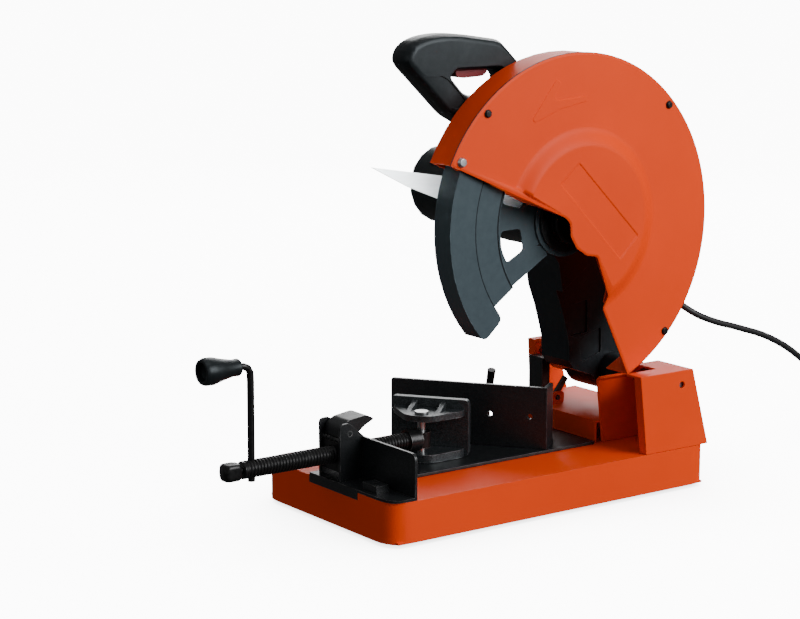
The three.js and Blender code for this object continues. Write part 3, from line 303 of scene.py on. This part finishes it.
def black_steel():
    """Black coated plate: satin, finely speckled, with faint grey scuffs and bare edges."""
    material, tree, shader, vector = new_material("black_coated_plate")
    speckle = ramp(tree, noise(tree, vector, 1100.0, 2.0, 0.6), 0.45, 0.80,
                   (0.006, 0.007, 0.008, 1.0), (0.040, 0.044, 0.048, 1.0))
    scuffs = ramp(tree, noise(tree, stretched(tree, vector, (1.0, 1.0, 9.0)), 90.0, 8.0, 0.75), 0.60, 0.95)
    scuffed = blend_colour(tree, scuffs, speckle, (0.045, 0.048, 0.050, 1.0))
    worn = blend_colour(tree, edge_wear(tree, vector, 0.6), scuffed, (0.26, 0.26, 0.27, 1.0))
    tree.links.new(worn, shader.inputs["Base Color"])
    shader.inputs["Metallic"].default_value = 0.2
    tree.links.new(remap(tree, noise(tree, vector, 75.0, 5.0), 0.26, 0.42), shader.inputs["Roughness"])
    bump(tree, shader, noise(tree, vector, 1500.0, 2.0), 0.14, 0.0003)
    return material


def black_casting():
    """Die casting in black paint: sand-like bump and slightly blue grey where it catches light."""
    material, tree, shader, vector = new_material("black_painted_casting")
    body = ramp(tree, noise(tree, vector, 160.0, 4.0), 0.3, 0.75,
                (0.007, 0.009, 0.011, 1.0), (0.013, 0.016, 0.019, 1.0))
    worn = blend_colour(tree, edge_wear(tree, vector), body, (0.10, 0.11, 0.12, 1.0))
    tree.links.new(worn, shader.inputs["Base Color"])
    shader.inputs["Specular Tint"].default_value = (0.82, 0.93, 1.0, 1.0)
    shader.inputs["Specular IOR Level"].default_value = 0.32
    tree.links.new(remap(tree, noise(tree, vector, 140.0, 4.0), 0.30, 0.44), shader.inputs["Roughness"])
    sand = bump(tree, shader, cells(tree, vector, 900.0), 0.16, 0.0003)
    bump(tree, shader, noise(tree, vector, 220.0, 4.0), 0.08, 0.0005, sand)
    return material


def hammered_casting():
    """Hammer-finish enamel: shallow round dimples between raised lines, dark silver grey."""
    material, tree, shader, vector = new_material("hammered_enamel")
    dimples = cells(tree, vector, 620.0)
    body = ramp(tree, dimples, 0.15, 0.75, (0.062, 0.072, 0.078, 1.0), (0.028, 0.033, 0.036, 1.0))
    worn = blend_colour(tree, edge_wear(tree, vector, 1.0), body, (0.24, 0.26, 0.27, 1.0))
    tree.links.new(worn, shader.inputs["Base Color"])
    shader.inputs["Metallic"].default_value = 0.5
    tree.links.new(remap(tree, noise(tree, vector, 200.0, 3.0), 0.24, 0.38), shader.inputs["Roughness"])
    coarse = bump(tree, shader, dimples, 0.5, 0.0008)
    bump(tree, shader, noise(tree, vector, 1400.0, 2.0), 0.08, 0.0002, coarse)
    return material


def moulded_plastic(name, dark, light, gloss, grain=0.14):
    """Moulded plastic with a spark-eroded grain and slightly lighter edges."""
    material, tree, shader, vector = new_material(name)
    body = ramp(tree, noise(tree, vector, 110.0, 5.0, 0.6), 0.3, 0.75, dark + (1.0,), light + (1.0,))
    lifted = blend_colour(tree, edge_wear(tree, vector), body, tuple(2.5 * c for c in light) + (1.0,))
    tree.links.new(lifted, shader.inputs["Base Color"])
    shader.inputs["Specular Tint"].default_value = (0.84, 0.94, 1.0, 1.0)
    shader.inputs["Specular IOR Level"].default_value = 0.26
    low, high = gloss
    tree.links.new(remap(tree, noise(tree, vector, 60.0, 5.0), low, high), shader.inputs["Roughness"])
    grained = bump(tree, shader, cells(tree, vector, 1900.0), grain, 0.0002)
    bump(tree, shader, noise(tree, vector, 14.0, 2.0), 0.04, 0.001, grained)
    return material


def guard_plastic():
    """The lower guard's plastic, with painted shade: dark bands along the corners of its round steps."""
    material = moulded_plastic(
        "guard_polycarbonate", (0.052, 0.074, 0.086), (0.066, 0.090, 0.104), (0.26, 0.36), 0.06)
    tree = material.node_tree
    shader = tree.nodes["Principled BSDF"]
    coordinates = tree.nodes.new("ShaderNodeTexCoord")
    away = vector_math(tree, "SUBTRACT", coordinates.outputs["Object"], at(0, *SPINDLE))
    flat = vector_math(tree, "MULTIPLY", away.outputs["Vector"], (0, 1, 1))
    radius = vector_math(tree, "LENGTH", flat.outputs["Vector"]).outputs["Value"]
    colour = shader.inputs["Base Color"].links[0].from_socket
    # Near-black painted shade along the corner of each round step.
    for step in GUARD_STEPS:
        step_shade = tree.nodes.new("ShaderNodeMath")
        step_shade.operation = "COMPARE"
        tree.links.new(radius, step_shade.inputs[0])
        step_shade.inputs[1].default_value = step * MM
        step_shade.inputs[2].default_value = GUARD_STEP_SHADE * MM
        colour = blend_colour(tree, step_shade.outputs["Value"], colour, (0.004, 0.005, 0.006, 1.0))
    tree.links.new(colour, shader.inputs["Base Color"])
    return material


def vector_math(tree, operation, first, second=None):
    node = tree.nodes.new("ShaderNodeVectorMath")
    node.operation = operation
    tree.links.new(first, node.inputs[0])
    if second is not None:
        node.inputs[1].default_value = second
    return node


def bright_steel():
    """Turned steel: fine rings round the X axis show as streaks, with dull patches."""
    material, tree, shader, vector = new_material("turned_steel")
    streaks = noise(tree, stretched(tree, vector, (1400.0, 40.0, 40.0)), 1.0, 3.0, 0.6)
    body = ramp(tree, streaks, 0.25, 0.8, (0.36, 0.37, 0.38, 1.0), (0.64, 0.64, 0.64, 1.0))
    stains = ramp(tree, noise(tree, vector, 130.0, 5.0, 0.65), 0.56, 0.75)
    tree.links.new(blend_colour(tree, stains, body, (0.25, 0.24, 0.23, 1.0)), shader.inputs["Base Color"])
    shader.inputs["Metallic"].default_value = 1.0
    tree.links.new(remap(tree, streaks, 0.20, 0.42), shader.inputs["Roughness"])
    bump(tree, shader, streaks, 0.10, 0.0002)
    return material


def dark_steel():
    """Black-oxide steel, oily, with bright metal on worn crests and corners."""
    material, tree, shader, vector = new_material("black_oxide_steel")
    body = ramp(tree, noise(tree, vector, 240.0, 5.0, 0.6), 0.3, 0.75,
                (0.012, 0.012, 0.013, 1.0), (0.034, 0.034, 0.035, 1.0))
    crests = edge_wear(tree, vector, 0.5, 260.0)
    tree.links.new(blend_colour(tree, crests, body, (0.34, 0.34, 0.34, 1.0)), shader.inputs["Base Color"])
    shader.inputs["Metallic"].default_value = 0.7
    tree.links.new(remap(tree, noise(tree, vector, 90.0, 4.0), 0.24, 0.40), shader.inputs["Roughness"])
    bump(tree, shader, noise(tree, vector, 900.0, 3.0), 0.10, 0.0003)
    return material


def copper_winding():
    """Varnished copper wire, wound along the motor."""
    material, tree, shader, vector = new_material("varnished_copper")
    wires = noise(tree, stretched(tree, vector, (30.0, 900.0, 900.0)), 1.0, 2.0)
    body = ramp(tree, wires, 0.3, 0.7, (0.23, 0.07, 0.02, 1.0), (0.62, 0.26, 0.10, 1.0))
    worn = blend_colour(tree, edge_wear(tree, vector), body, (0.70, 0.36, 0.18, 1.0))
    tree.links.new(worn, shader.inputs["Base Color"])
    shader.inputs["Metallic"].default_value = 0.8
    tree.links.new(remap(tree, wires, 0.22, 0.45), shader.inputs["Roughness"])
    bump(tree, shader, wires, 0.4, 0.0005)
    return material


def black_rubber():
    """Matt rubber with a fine bloom, greyer along its edges."""
    material, tree, shader, vector = new_material("moulded_rubber")
    body = ramp(tree, noise(tree, vector, 120.0, 5.0), 0.35, 0.75,
                (0.006, 0.006, 0.007, 1.0), (0.016, 0.016, 0.018, 1.0))
    worn = blend_colour(tree, edge_wear(tree, vector), body, (0.045, 0.045, 0.047, 1.0))
    tree.links.new(worn, shader.inputs["Base Color"])
    tree.links.new(remap(tree, noise(tree, vector, 90.0, 4.0), 0.42, 0.62), shader.inputs["Roughness"])
    bump(tree, shader, noise(tree, vector, 1600.0, 2.0), 0.15, 0.0002)
    return material


def frosted_sheet():
    """Scratched clear plastic sheet: milky, with fine scratches along it and dark sawn edges."""
    material, tree, shader, vector = new_material("scuffed_clear_sheet")
    scratches = noise(tree, stretched(tree, vector, (60.0, 60.0, 900.0)), 1.0, 5.0, 0.7)
    body = ramp(tree, scratches, 0.3, 0.75, (0.66, 0.71, 0.73, 1.0), (0.90, 0.93, 0.94, 1.0))
    worn = blend_colour(tree, edge_wear(tree, vector, 0.8, 30.0), body, (0.10, 0.12, 0.13, 1.0))
    tree.links.new(worn, shader.inputs["Base Color"])
    shader.inputs["Transmission Weight"].default_value = 0.75
    shader.inputs["IOR"].default_value = 1.45
    tree.links.new(remap(tree, scratches, 0.22, 0.5), shader.inputs["Roughness"])
    bump(tree, shader, scratches, 0.12, 0.0003)
    return material


def make_materials():
    """One material for each of the record's slots."""
    return {
        "orange_paint": orange_paint(),
        "black_coated_steel": black_steel(),
        "black_casting": black_casting(),
        "hammered_casting": hammered_casting(),
        "black_plastic": moulded_plastic(
            "black_nylon", (0.007, 0.009, 0.010), (0.013, 0.016, 0.018), (0.30, 0.42)),
        "guard_plastic": guard_plastic(),
        "bright_steel": bright_steel(),
        "black_oxide_steel": dark_steel(),
        "winding_copper": copper_winding(),
        "black_rubber": black_rubber(),
        "red_plastic": moulded_plastic(
            "red_switch_key", (0.16, 0.014, 0.016), (0.22, 0.024, 0.026), (0.35, 0.5)),
        "frosted_plastic": frosted_sheet(),
    }


# ------------------------------------------------------------------------------------------ CAD nodes
EDGE_ROUND = {
    "base_tray": 2.0, "right_tower": 1.6, "left_tower": 1.0, "rear_saddle": 1.0, "guard_shell": 0.4,
    "table_plate": 0.5, "arm_casting": 1.4, "cast_jaw": 1.3, "handle_left": 0.9, "handle_right": 0.9,
    "motor_housing": 0.8, "motor_end_cap": 1.0, "gear_cover": 1.2, "lower_guard": 1.3,
    "fence_plate": 0.6, "vise_bracket": 0.6, "crank_knob": 0.5, "plug": 1.2,
}
DEFAULT_ROUND = 0.4
NO_ROUND = ("layshaft", "drive_gear", "armature", "torsion_spring", "stator")


def dress_cad_nodes(materials):
    """Gives each CAD node its slot's material, smooth shading and rounded edges."""
    slots = {part["node"]: part["material_slot"] for part in frame["record"]["subparts"]}
    for name, node in frame["nodes"].items():
        node.data.materials.clear()
        node.data.materials.append(materials[slots[name]])
        for polygon in node.data.polygons:
            polygon.use_smooth = True
        round_edges(node, 0 if name in NO_ROUND else EDGE_ROUND.get(name, DEFAULT_ROUND))


def round_edges(node, width):
    weld = node.modifiers.new("weld", "WELD")
    weld.merge_threshold = 0.00002
    flat = node.modifiers.new("flat faces", "DECIMATE")
    flat.decimate_type = "DISSOLVE"
    flat.angle_limit = math.radians(1.0)
    if width:
        bevel = node.modifiers.new("round", "BEVEL")
        bevel.width = width * MM
        bevel.segments = 2
        bevel.limit_method = "ANGLE"
        bevel.angle_limit = math.radians(32)
        bevel.harden_normals = True
        bevel.use_clamp_overlap = True
    weighted = node.modifiers.new("normals", "WEIGHTED_NORMAL")
    weighted.keep_sharp = True


# ------------------------------------------------------------------------------------------ mesh tools
def new_piece(name, bm, material, body, replaces=(), smooth=True):
    """Turns a bmesh, whose places are millimetres in the saw, into a piece that rides on a body."""
    for vertex in bm.verts:
        vertex.co = at(*vertex.co)
    bmesh.ops.recalc_face_normals(bm, faces=bm.faces)
    mesh = bpy.data.meshes.new(name)
    bm.to_mesh(mesh)
    bm.free()
    for polygon in mesh.polygons:
        polygon.use_smooth = smooth
    piece = bpy.data.objects.new(name, mesh)
    bpy.context.scene.collection.objects.link(piece)
    mesh.materials.append(material)
    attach(piece, body)
    if replaces:
        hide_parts(*replaces)
    return piece


def circle(centre, radius, count):
    step = 2 * math.pi / count
    return [(centre[0] + radius * math.cos(i * step), centre[1] + radius * math.sin(i * step))
            for i in range(count)]


def inset(points, distance):
    """A counter-clockwise outline moved inwards."""
    moved = []
    for i, here in enumerate(points):
        before, after = points[i - 1], points[(i + 1) % len(points)]
        first = left_of(before, here)
        middle = (first + left_of(here, after)).normalized()
        reach = distance / max(0.35, middle.dot(first))
        moved.append((here[0] + middle.x * reach, here[1] + middle.y * reach))
    return moved


def nested(outline, distances):
    """An outline and the lines at these distances inside it."""
    return [outline] + [inset(outline, distance) for distance in distances]


def left_of(start, end):
    return Vector((start[1] - end[1], end[0] - start[0])).normalized()


def inside(point, outline):
    """Whether a point is within an outline."""
    result = False
    for (x0, y0), (x1, y1) in zip(outline, outline[1:] + outline[:1]):
        if (y0 > point[1]) != (y1 > point[1]):
            if point[0] < x0 + (x1 - x0) * (point[1] - y0) / (y1 - y0):
                result = not result
    return result


def smoothstep(value):
    value = max(0.0, min(1.0, value))
    return value * value * (3 - 2 * value)


# ------------------------------------------------------------------------------------------ guard cover
COVER_CUT = [(106, 398), (255, 332), (262, 325), (263, 310), (272, 296), (286, 287), (302, 284),
             (323, 235), (319, 221), (357, 143)]
COVER_THICK = 1.5
# The black strip of painted shade in the gap at the cover's edge: its radii and the X of its two faces.
GAP_SHADE_RADII = (193.6, 195.4)
GAP_SHADE_FACES = (93.1, 94.2)
DOME_INNER = 85.0
DOME_OUTER = 107.0
DOME_RISE = 8.0
DOME_RING_GAP = 1.75
# How far the rim falls away, the panel sinks and the arrowhead rises, and over what width.
RIM_DROP = 0.9
RIM_WIDTH = 2.4
PANEL_DEPTH = 1.0
PANEL_WIDTH = 1.5
ARROW_RISE = 0.75
ARROW_WIDTH = 0.7
# How nearly a face looks straight out (X) for it to count as one of the cover's flat faces.
FLAT_FACE = 0.99995
PANEL = [(273, 393), (246, 370), (336, 277), (363, 303)]
ARROW = [(211, 443), (245, 486), (252, 481), (242, 466), (247, 462), (287, 465), (290, 459),
         (251, 452), (215, 439)]


def cover_outline():
    """The cover's edge, counter-clockwise: the arc from the rear tip over the top, then the cut."""
    return [on_rim(angle, GUARD_RADIUS) for angle in rim_angles()] + soften(COVER_CUT)[1:-1]


def rim_angles(count=110):
    """The directions from the guard's centre to places along its rim, from the rear tip over the top."""
    centre_y, centre_z = GUARD_CENTRE
    start = math.atan2(COVER_CUT[-1][1] - centre_z, COVER_CUT[-1][0] - centre_y)
    end = math.atan2(COVER_CUT[0][1] - centre_z, COVER_CUT[0][0] - centre_y)
    return [start + (end - start) * i / count for i in range(count + 1)]


def on_rim(angle, radius):
    return (GUARD_CENTRE[0] + radius * math.cos(angle), GUARD_CENTRE[1] + radius * math.sin(angle))


def soften(corners, cut=2.5, steps=3):
    """An open line with its inner corners rounded."""
    line = [corners[0]]
    for before, here, after in zip(corners, corners[1:], corners[2:]):
        here = Vector(here)
        enter = here + (Vector(before) - here).normalized() * cut
        leave = here + (Vector(after) - here).normalized() * cut
        for i in range(steps + 1):
            t = i / steps
            place = enter * (1 - t) ** 2 + here * 2 * t * (1 - t) + leave * t ** 2
            line.append((place.x, place.y))
    return line + [corners[-1]]


def closed_soften(corners, cut, steps=4):
    """A closed outline with all its corners rounded."""
    wrapped = [corners[-1]] + corners + [corners[0]]
    return soften(wrapped, cut, steps)[1:-1]


def counter_clockwise(points):
    area = sum(a[0] * b[1] - b[0] * a[1] for a, b in zip(points, points[1:] + points[:1]))
    return points if area > 0 else points[::-1]


def make_cover(material):
    """The pressed cover: rounded rim, raised disc with a blank panel, and a raised arrowhead."""
    edge = cover_outline()
    rims = nested(edge, (0.3, 0.8, 1.5, RIM_WIDTH))
    panels = nested(counter_clockwise(closed_soften(PANEL, 3.0)), (0.45, 0.9, PANEL_WIDTH))
    arrows = nested(counter_clockwise(closed_soften(ARROW, 2.6)), (0.35, ARROW_WIDTH))
    rings = [circle(SPINDLE, DOME_INNER - 3 + DOME_RING_GAP * i, 144) for i in range(16)]
    lines = rims + panels + arrows
    fences = (rims[-1], panels[0], arrows[0])
    points, edges = [], []
    for loop in lines:
        add_loop(points, edges, loop)
    for ring in rings:
        points.extend(Vector(p) for p in ring if inside(p, rims[-1]) and not near_lines(p, fences))
    points.extend(Vector(p) for p in grid_points(edge) if not near_lines(p, fences))
    found = delaunay_2d_cdt(points, edges, [list(range(len(edge)))], 1, 1e-4)
    bm = bmesh.new()
    shape = (edge, panels, arrows)
    top = [bm.verts.new((cover_height((p.x, p.y), shape), p.x, p.y)) for p in found[0]]
    for face in found[2]:
        bm.faces.new([top[i] for i in face])
    bm.normal_update()
    bmesh.ops.solidify(bm, geom=list(bm.faces), thickness=COVER_THICK)
    cover = new_piece("cover_pressing", bm, material, "head", ("guard_cover",))
    for polygon in cover.data.polygons:
        polygon.use_smooth = abs(polygon.normal.x) < FLAT_FACE


def make_gap_shade_strip(material):
    """The thin black strip put in the gap between the cover and the guard's rim as painted shade, which
    shows as a line.
    """
    inner, outer = GAP_SHADE_RADII
    near, far = GAP_SHADE_FACES
    bm = bmesh.new()
    rows = []
    for angle in rim_angles():
        section = ((near, inner), (near, outer), (far, outer), (far, inner))
        rows.append([bm.verts.new((x, *on_rim(angle, radius))) for x, radius in section])
    close_rows(bm, rows)
    new_piece("cover_gap_shade", bm, material, "head", smooth=False)


def add_loop(points, edges, loop):
    """Adds a closed line to the triangulation."""
    first = len(points)
    points.extend(Vector(p) for p in loop)
    edges.extend((first + i, first + (i + 1) % len(loop)) for i in range(len(loop)))


def near_lines(point, outlines, distance=1.6):
    return any(gap_to(point, outline) < distance for outline in outlines)


def gap_to(point, outline):
    """How far a point is from an outline."""
    return min(distance_to(point, a, b) for a, b in zip(outline, outline[1:] + outline[:1]))


def distance_to(point, a, b):
    along = (b[0] - a[0], b[1] - a[1])
    length = along[0] ** 2 + along[1] ** 2 or 1e-9
    t = ((point[0] - a[0]) * along[0] + (point[1] - a[1]) * along[1]) / length
    t = max(0.0, min(1.0, t))
    return math.hypot(point[0] - a[0] - t * along[0], point[1] - a[1] - t * along[1])


def grid_points(edge, step=9.0):
    ys = [p[0] for p in edge]
    zs = [p[1] for p in edge]
    places = []
    for row in range(int((max(ys) - min(ys)) / step) + 1):
        for column in range(int((max(zs) - min(zs)) / step) + 1):
            place = (min(ys) + (row + 0.37) * step, min(zs) + (column + 0.41) * step)
            radius = math.dist(place, SPINDLE)
            if inside(place, edge) and not DOME_INNER - 6 < radius < DOME_OUTER + 6:
                places.append(place)
    return places


def cover_height(point, shape):
    """How far out (X) the cover's outer face is at a place."""
    edge, panels, arrows = shape
    radius = math.dist(point, SPINDLE)
    height = COVER_FACE + DOME_RISE * smoothstep((DOME_OUTER - radius) / (DOME_OUTER - DOME_INNER))
    height -= RIM_DROP * (1 - smoothstep(gap_to(point, edge) / RIM_WIDTH))
    if inside(point, panels[0]):
        height -= PANEL_DEPTH * smoothstep(gap_to(point, panels[0]) / PANEL_WIDTH)
    if inside(point, arrows[0]):
        height += ARROW_RISE * smoothstep(gap_to(point, arrows[0]) / ARROW_WIDTH)
    return height


# ------------------------------------------------------------------------------------------ lead screw
THREAD_PITCH = 4.0
THREAD_DEPTH = 1.5
SCREW_ENDS = (-110.0, 118.0)
SCREW_RADIUS = 9.95
SCREW_NECK = 5.0
SCREW_RUNOUT = 6.0
SQUARE_HEAD = (-133.0, -115.0)
SQUARE_HALF = 9.0
# How far the head's corners reach past its flats, and how the turned ends cut them back: the distance
# from an end and the share of that reach.
SQUARE_CORNER = 1.36
SQUARE_ENDS = ((0.0, 0.72), (0.6, 0.86), (3.2, 1.0))


def make_lead_screw(material):
    """The vise screw with its trapezoidal thread, its neck and its square head."""
    start, end = SCREW_ENDS
    around = 28
    stations = int((end - start) / 0.5)
    bm = bmesh.new()
    rows = []
    for row in range(stations + 1):
        y = start + (end - start) * row / stations
        rows.append([bm.verts.new(thread_place(y, 2 * math.pi * i / around)) for i in range(around)])
    close_rows(bm, rows)
    x, z = SCREW_AXIS
    neck_ends = (SQUARE_HEAD[1] - 1, start + 1)
    close_rows(bm, [[bm.verts.new((px, y, pz)) for px, pz in circle((x, z), SCREW_NECK, 20)]
                    for y in neck_ends])
    add_square_head(bm)
    return new_piece("threaded_screw", bm, material, "vise_screw", ("lead_screw",))


def close_rows(bm, rows):
    """Skins rings of the same number of places and closes both ends."""
    count = len(rows[0])
    for low, high in zip(rows, rows[1:]):
        for i in range(count):
            bm.faces.new((low[i], low[(i + 1) % count], high[(i + 1) % count], high[i]))
    bm.faces.new(rows[0])
    bm.faces.new(rows[-1][::-1])


def add_square_head(bm):
    """A square head with its end faces turned off at the corners."""
    x, z = SCREW_AXIS
    y0, y1 = SQUARE_HEAD
    profile = [(y0 + depth, share) for depth, share in SQUARE_ENDS]
    profile += [(y1 - depth, share) for depth, share in reversed(SQUARE_ENDS)]
    rows = []
    for y, share in profile:
        row = []
        for i in range(32):
            angle = 2 * math.pi * (i + 0.5) / 32
            square = SQUARE_HALF / max(abs(math.cos(angle)), abs(math.sin(angle)))
            reach = min(square, SQUARE_HALF * SQUARE_CORNER * share)
            row.append(bm.verts.new((x + reach * math.cos(angle), y, z + reach * math.sin(angle))))
        rows.append(row)
    close_rows(bm, rows)


def thread_place(y, angle):
    phase = (y / THREAD_PITCH - angle / (2 * math.pi)) % 1.0
    flank = min(1.0, max(0.0, (abs(phase - 0.5) - 0.13) / 0.22))
    start, end = SCREW_ENDS
    runout = smoothstep((y - start) / SCREW_RUNOUT) * smoothstep((end - y) / SCREW_RUNOUT)
    radius = SCREW_RADIUS - THREAD_DEPTH * flank * runout
    x, z = SCREW_AXIS
    return (x + radius * math.cos(angle), y, z + radius * math.sin(angle))


# ------------------------------------------------------------------------------------------ stage
FLOOR_GLOW = 11.0
# The share of the glow left right beside the saw, and how far that painted contact shadow reaches, in
# metres.
FLOOR_SHADOW_DIM = 0.25
FLOOR_SHADOW_REACH = 0.20
FLOOR_HALF_SIZE = 40.0
FLOOR_LEVEL = -0.0005
SKY_LOW = 0.07
SKY_HIGH = 0.33
SKY_STARTS = -0.3


def make_floor():
    """A white floor that glows like a studio's light table, less so close to the saw, where the dimmer
    glow is a painted contact shadow.
    Diffuse and glossy rays don't see it, so it doesn't colour the saw."""
    bm = bmesh.new()
    bmesh.ops.create_grid(bm, x_segments=1, y_segments=1, size=FLOOR_HALF_SIZE)
    mesh = bpy.data.meshes.new("floor")
    bm.to_mesh(mesh)
    bm.free()
    floor = bpy.data.objects.new("floor", mesh)
    floor.location.z = FLOOR_LEVEL
    floor.visible_diffuse = False
    floor.visible_glossy = False
    bpy.context.scene.collection.objects.link(floor)
    material = bpy.data.materials.new("white_floor")
    material.use_nodes = True
    shader = material.node_tree.nodes["Principled BSDF"]
    shader.inputs["Base Color"].default_value = (0.95, 0.95, 0.95, 1.0)
    shader.inputs["Roughness"].default_value = 0.8
    shader.inputs["Emission Color"].default_value = (1.0, 1.0, 1.0, 1.0)
    tree = material.node_tree
    # Painted contact shadow: ambient occlusion dims the floor's glow near the saw.
    near = tree.nodes.new("ShaderNodeAmbientOcclusion")
    near.samples = 16
    near.inputs["Distance"].default_value = FLOOR_SHADOW_REACH
    glow = tree.nodes.new("ShaderNodeMapRange")
    glow.inputs["To Min"].default_value = FLOOR_GLOW * FLOOR_SHADOW_DIM
    glow.inputs["To Max"].default_value = FLOOR_GLOW
    tree.links.new(near.outputs["AO"], glow.inputs["Value"])
    tree.links.new(glow.outputs["Result"], shader.inputs["Emission Strength"])
    mesh.materials.append(material)


# Softboxes, as name, place, what they point at, size in metres and power in watts.
LIGHTS = [
    ("key", (2500, 1300, 1300), (60, 250, 250), 1.8, 92.0),
    ("front", (-300, -2900, 1100), (0, 150, 200), 1.4, 6.0),
    ("top", (500, 300, 2900), (0, 200, 200), 1.4, 9.0),
    ("back", (-1800, 1900, 1500), (0, 250, 300), 1.6, 40.0),
]


def make_lights():
    for name, place, target, size, power in LIGHTS:
        data = bpy.data.lights.new(name, "AREA")
        data.shape = "SQUARE"
        data.size = size
        data.energy = power
        light = bpy.data.objects.new(name, data)
        light.location = at(*place)
        direction = at(*target) - light.location
        light.rotation_euler = direction.to_track_quat("-Z", "Y").to_euler()
        bpy.context.scene.collection.objects.link(light)
    make_world()


def make_world():
    """A room that is brighter overhead than below."""
    world = bpy.data.worlds.new("studio")
    world.use_nodes = True
    tree = world.node_tree
    coordinates = tree.nodes.new("ShaderNodeTexCoord")
    split = tree.nodes.new("ShaderNodeSeparateXYZ")
    tree.links.new(coordinates.outputs["Generated"], split.inputs["Vector"])
    sky = tree.nodes.new("ShaderNodeMapRange")
    sky.inputs["From Min"].default_value = SKY_STARTS
    sky.inputs["To Min"].default_value = SKY_LOW
    sky.inputs["To Max"].default_value = SKY_HIGH
    tree.links.new(split.outputs["Z"], sky.inputs["Value"])
    background = tree.nodes["Background"]
    background.inputs["Color"].default_value = (1.0, 1.0, 1.0, 1.0)
    tree.links.new(sky.outputs["Result"], background.inputs["Strength"])
    bpy.context.scene.world = world


make_camera()
library = make_materials()
make_cord(library["black_rubber"])
dress_cad_nodes(library)
make_cover(library["orange_paint"])
# A black strip of painted shade in the gap at the cover's edge.
make_gap_shade_strip(library["black_rubber"])
make_lead_screw(library["black_oxide_steel"])
make_floor()
make_lights()
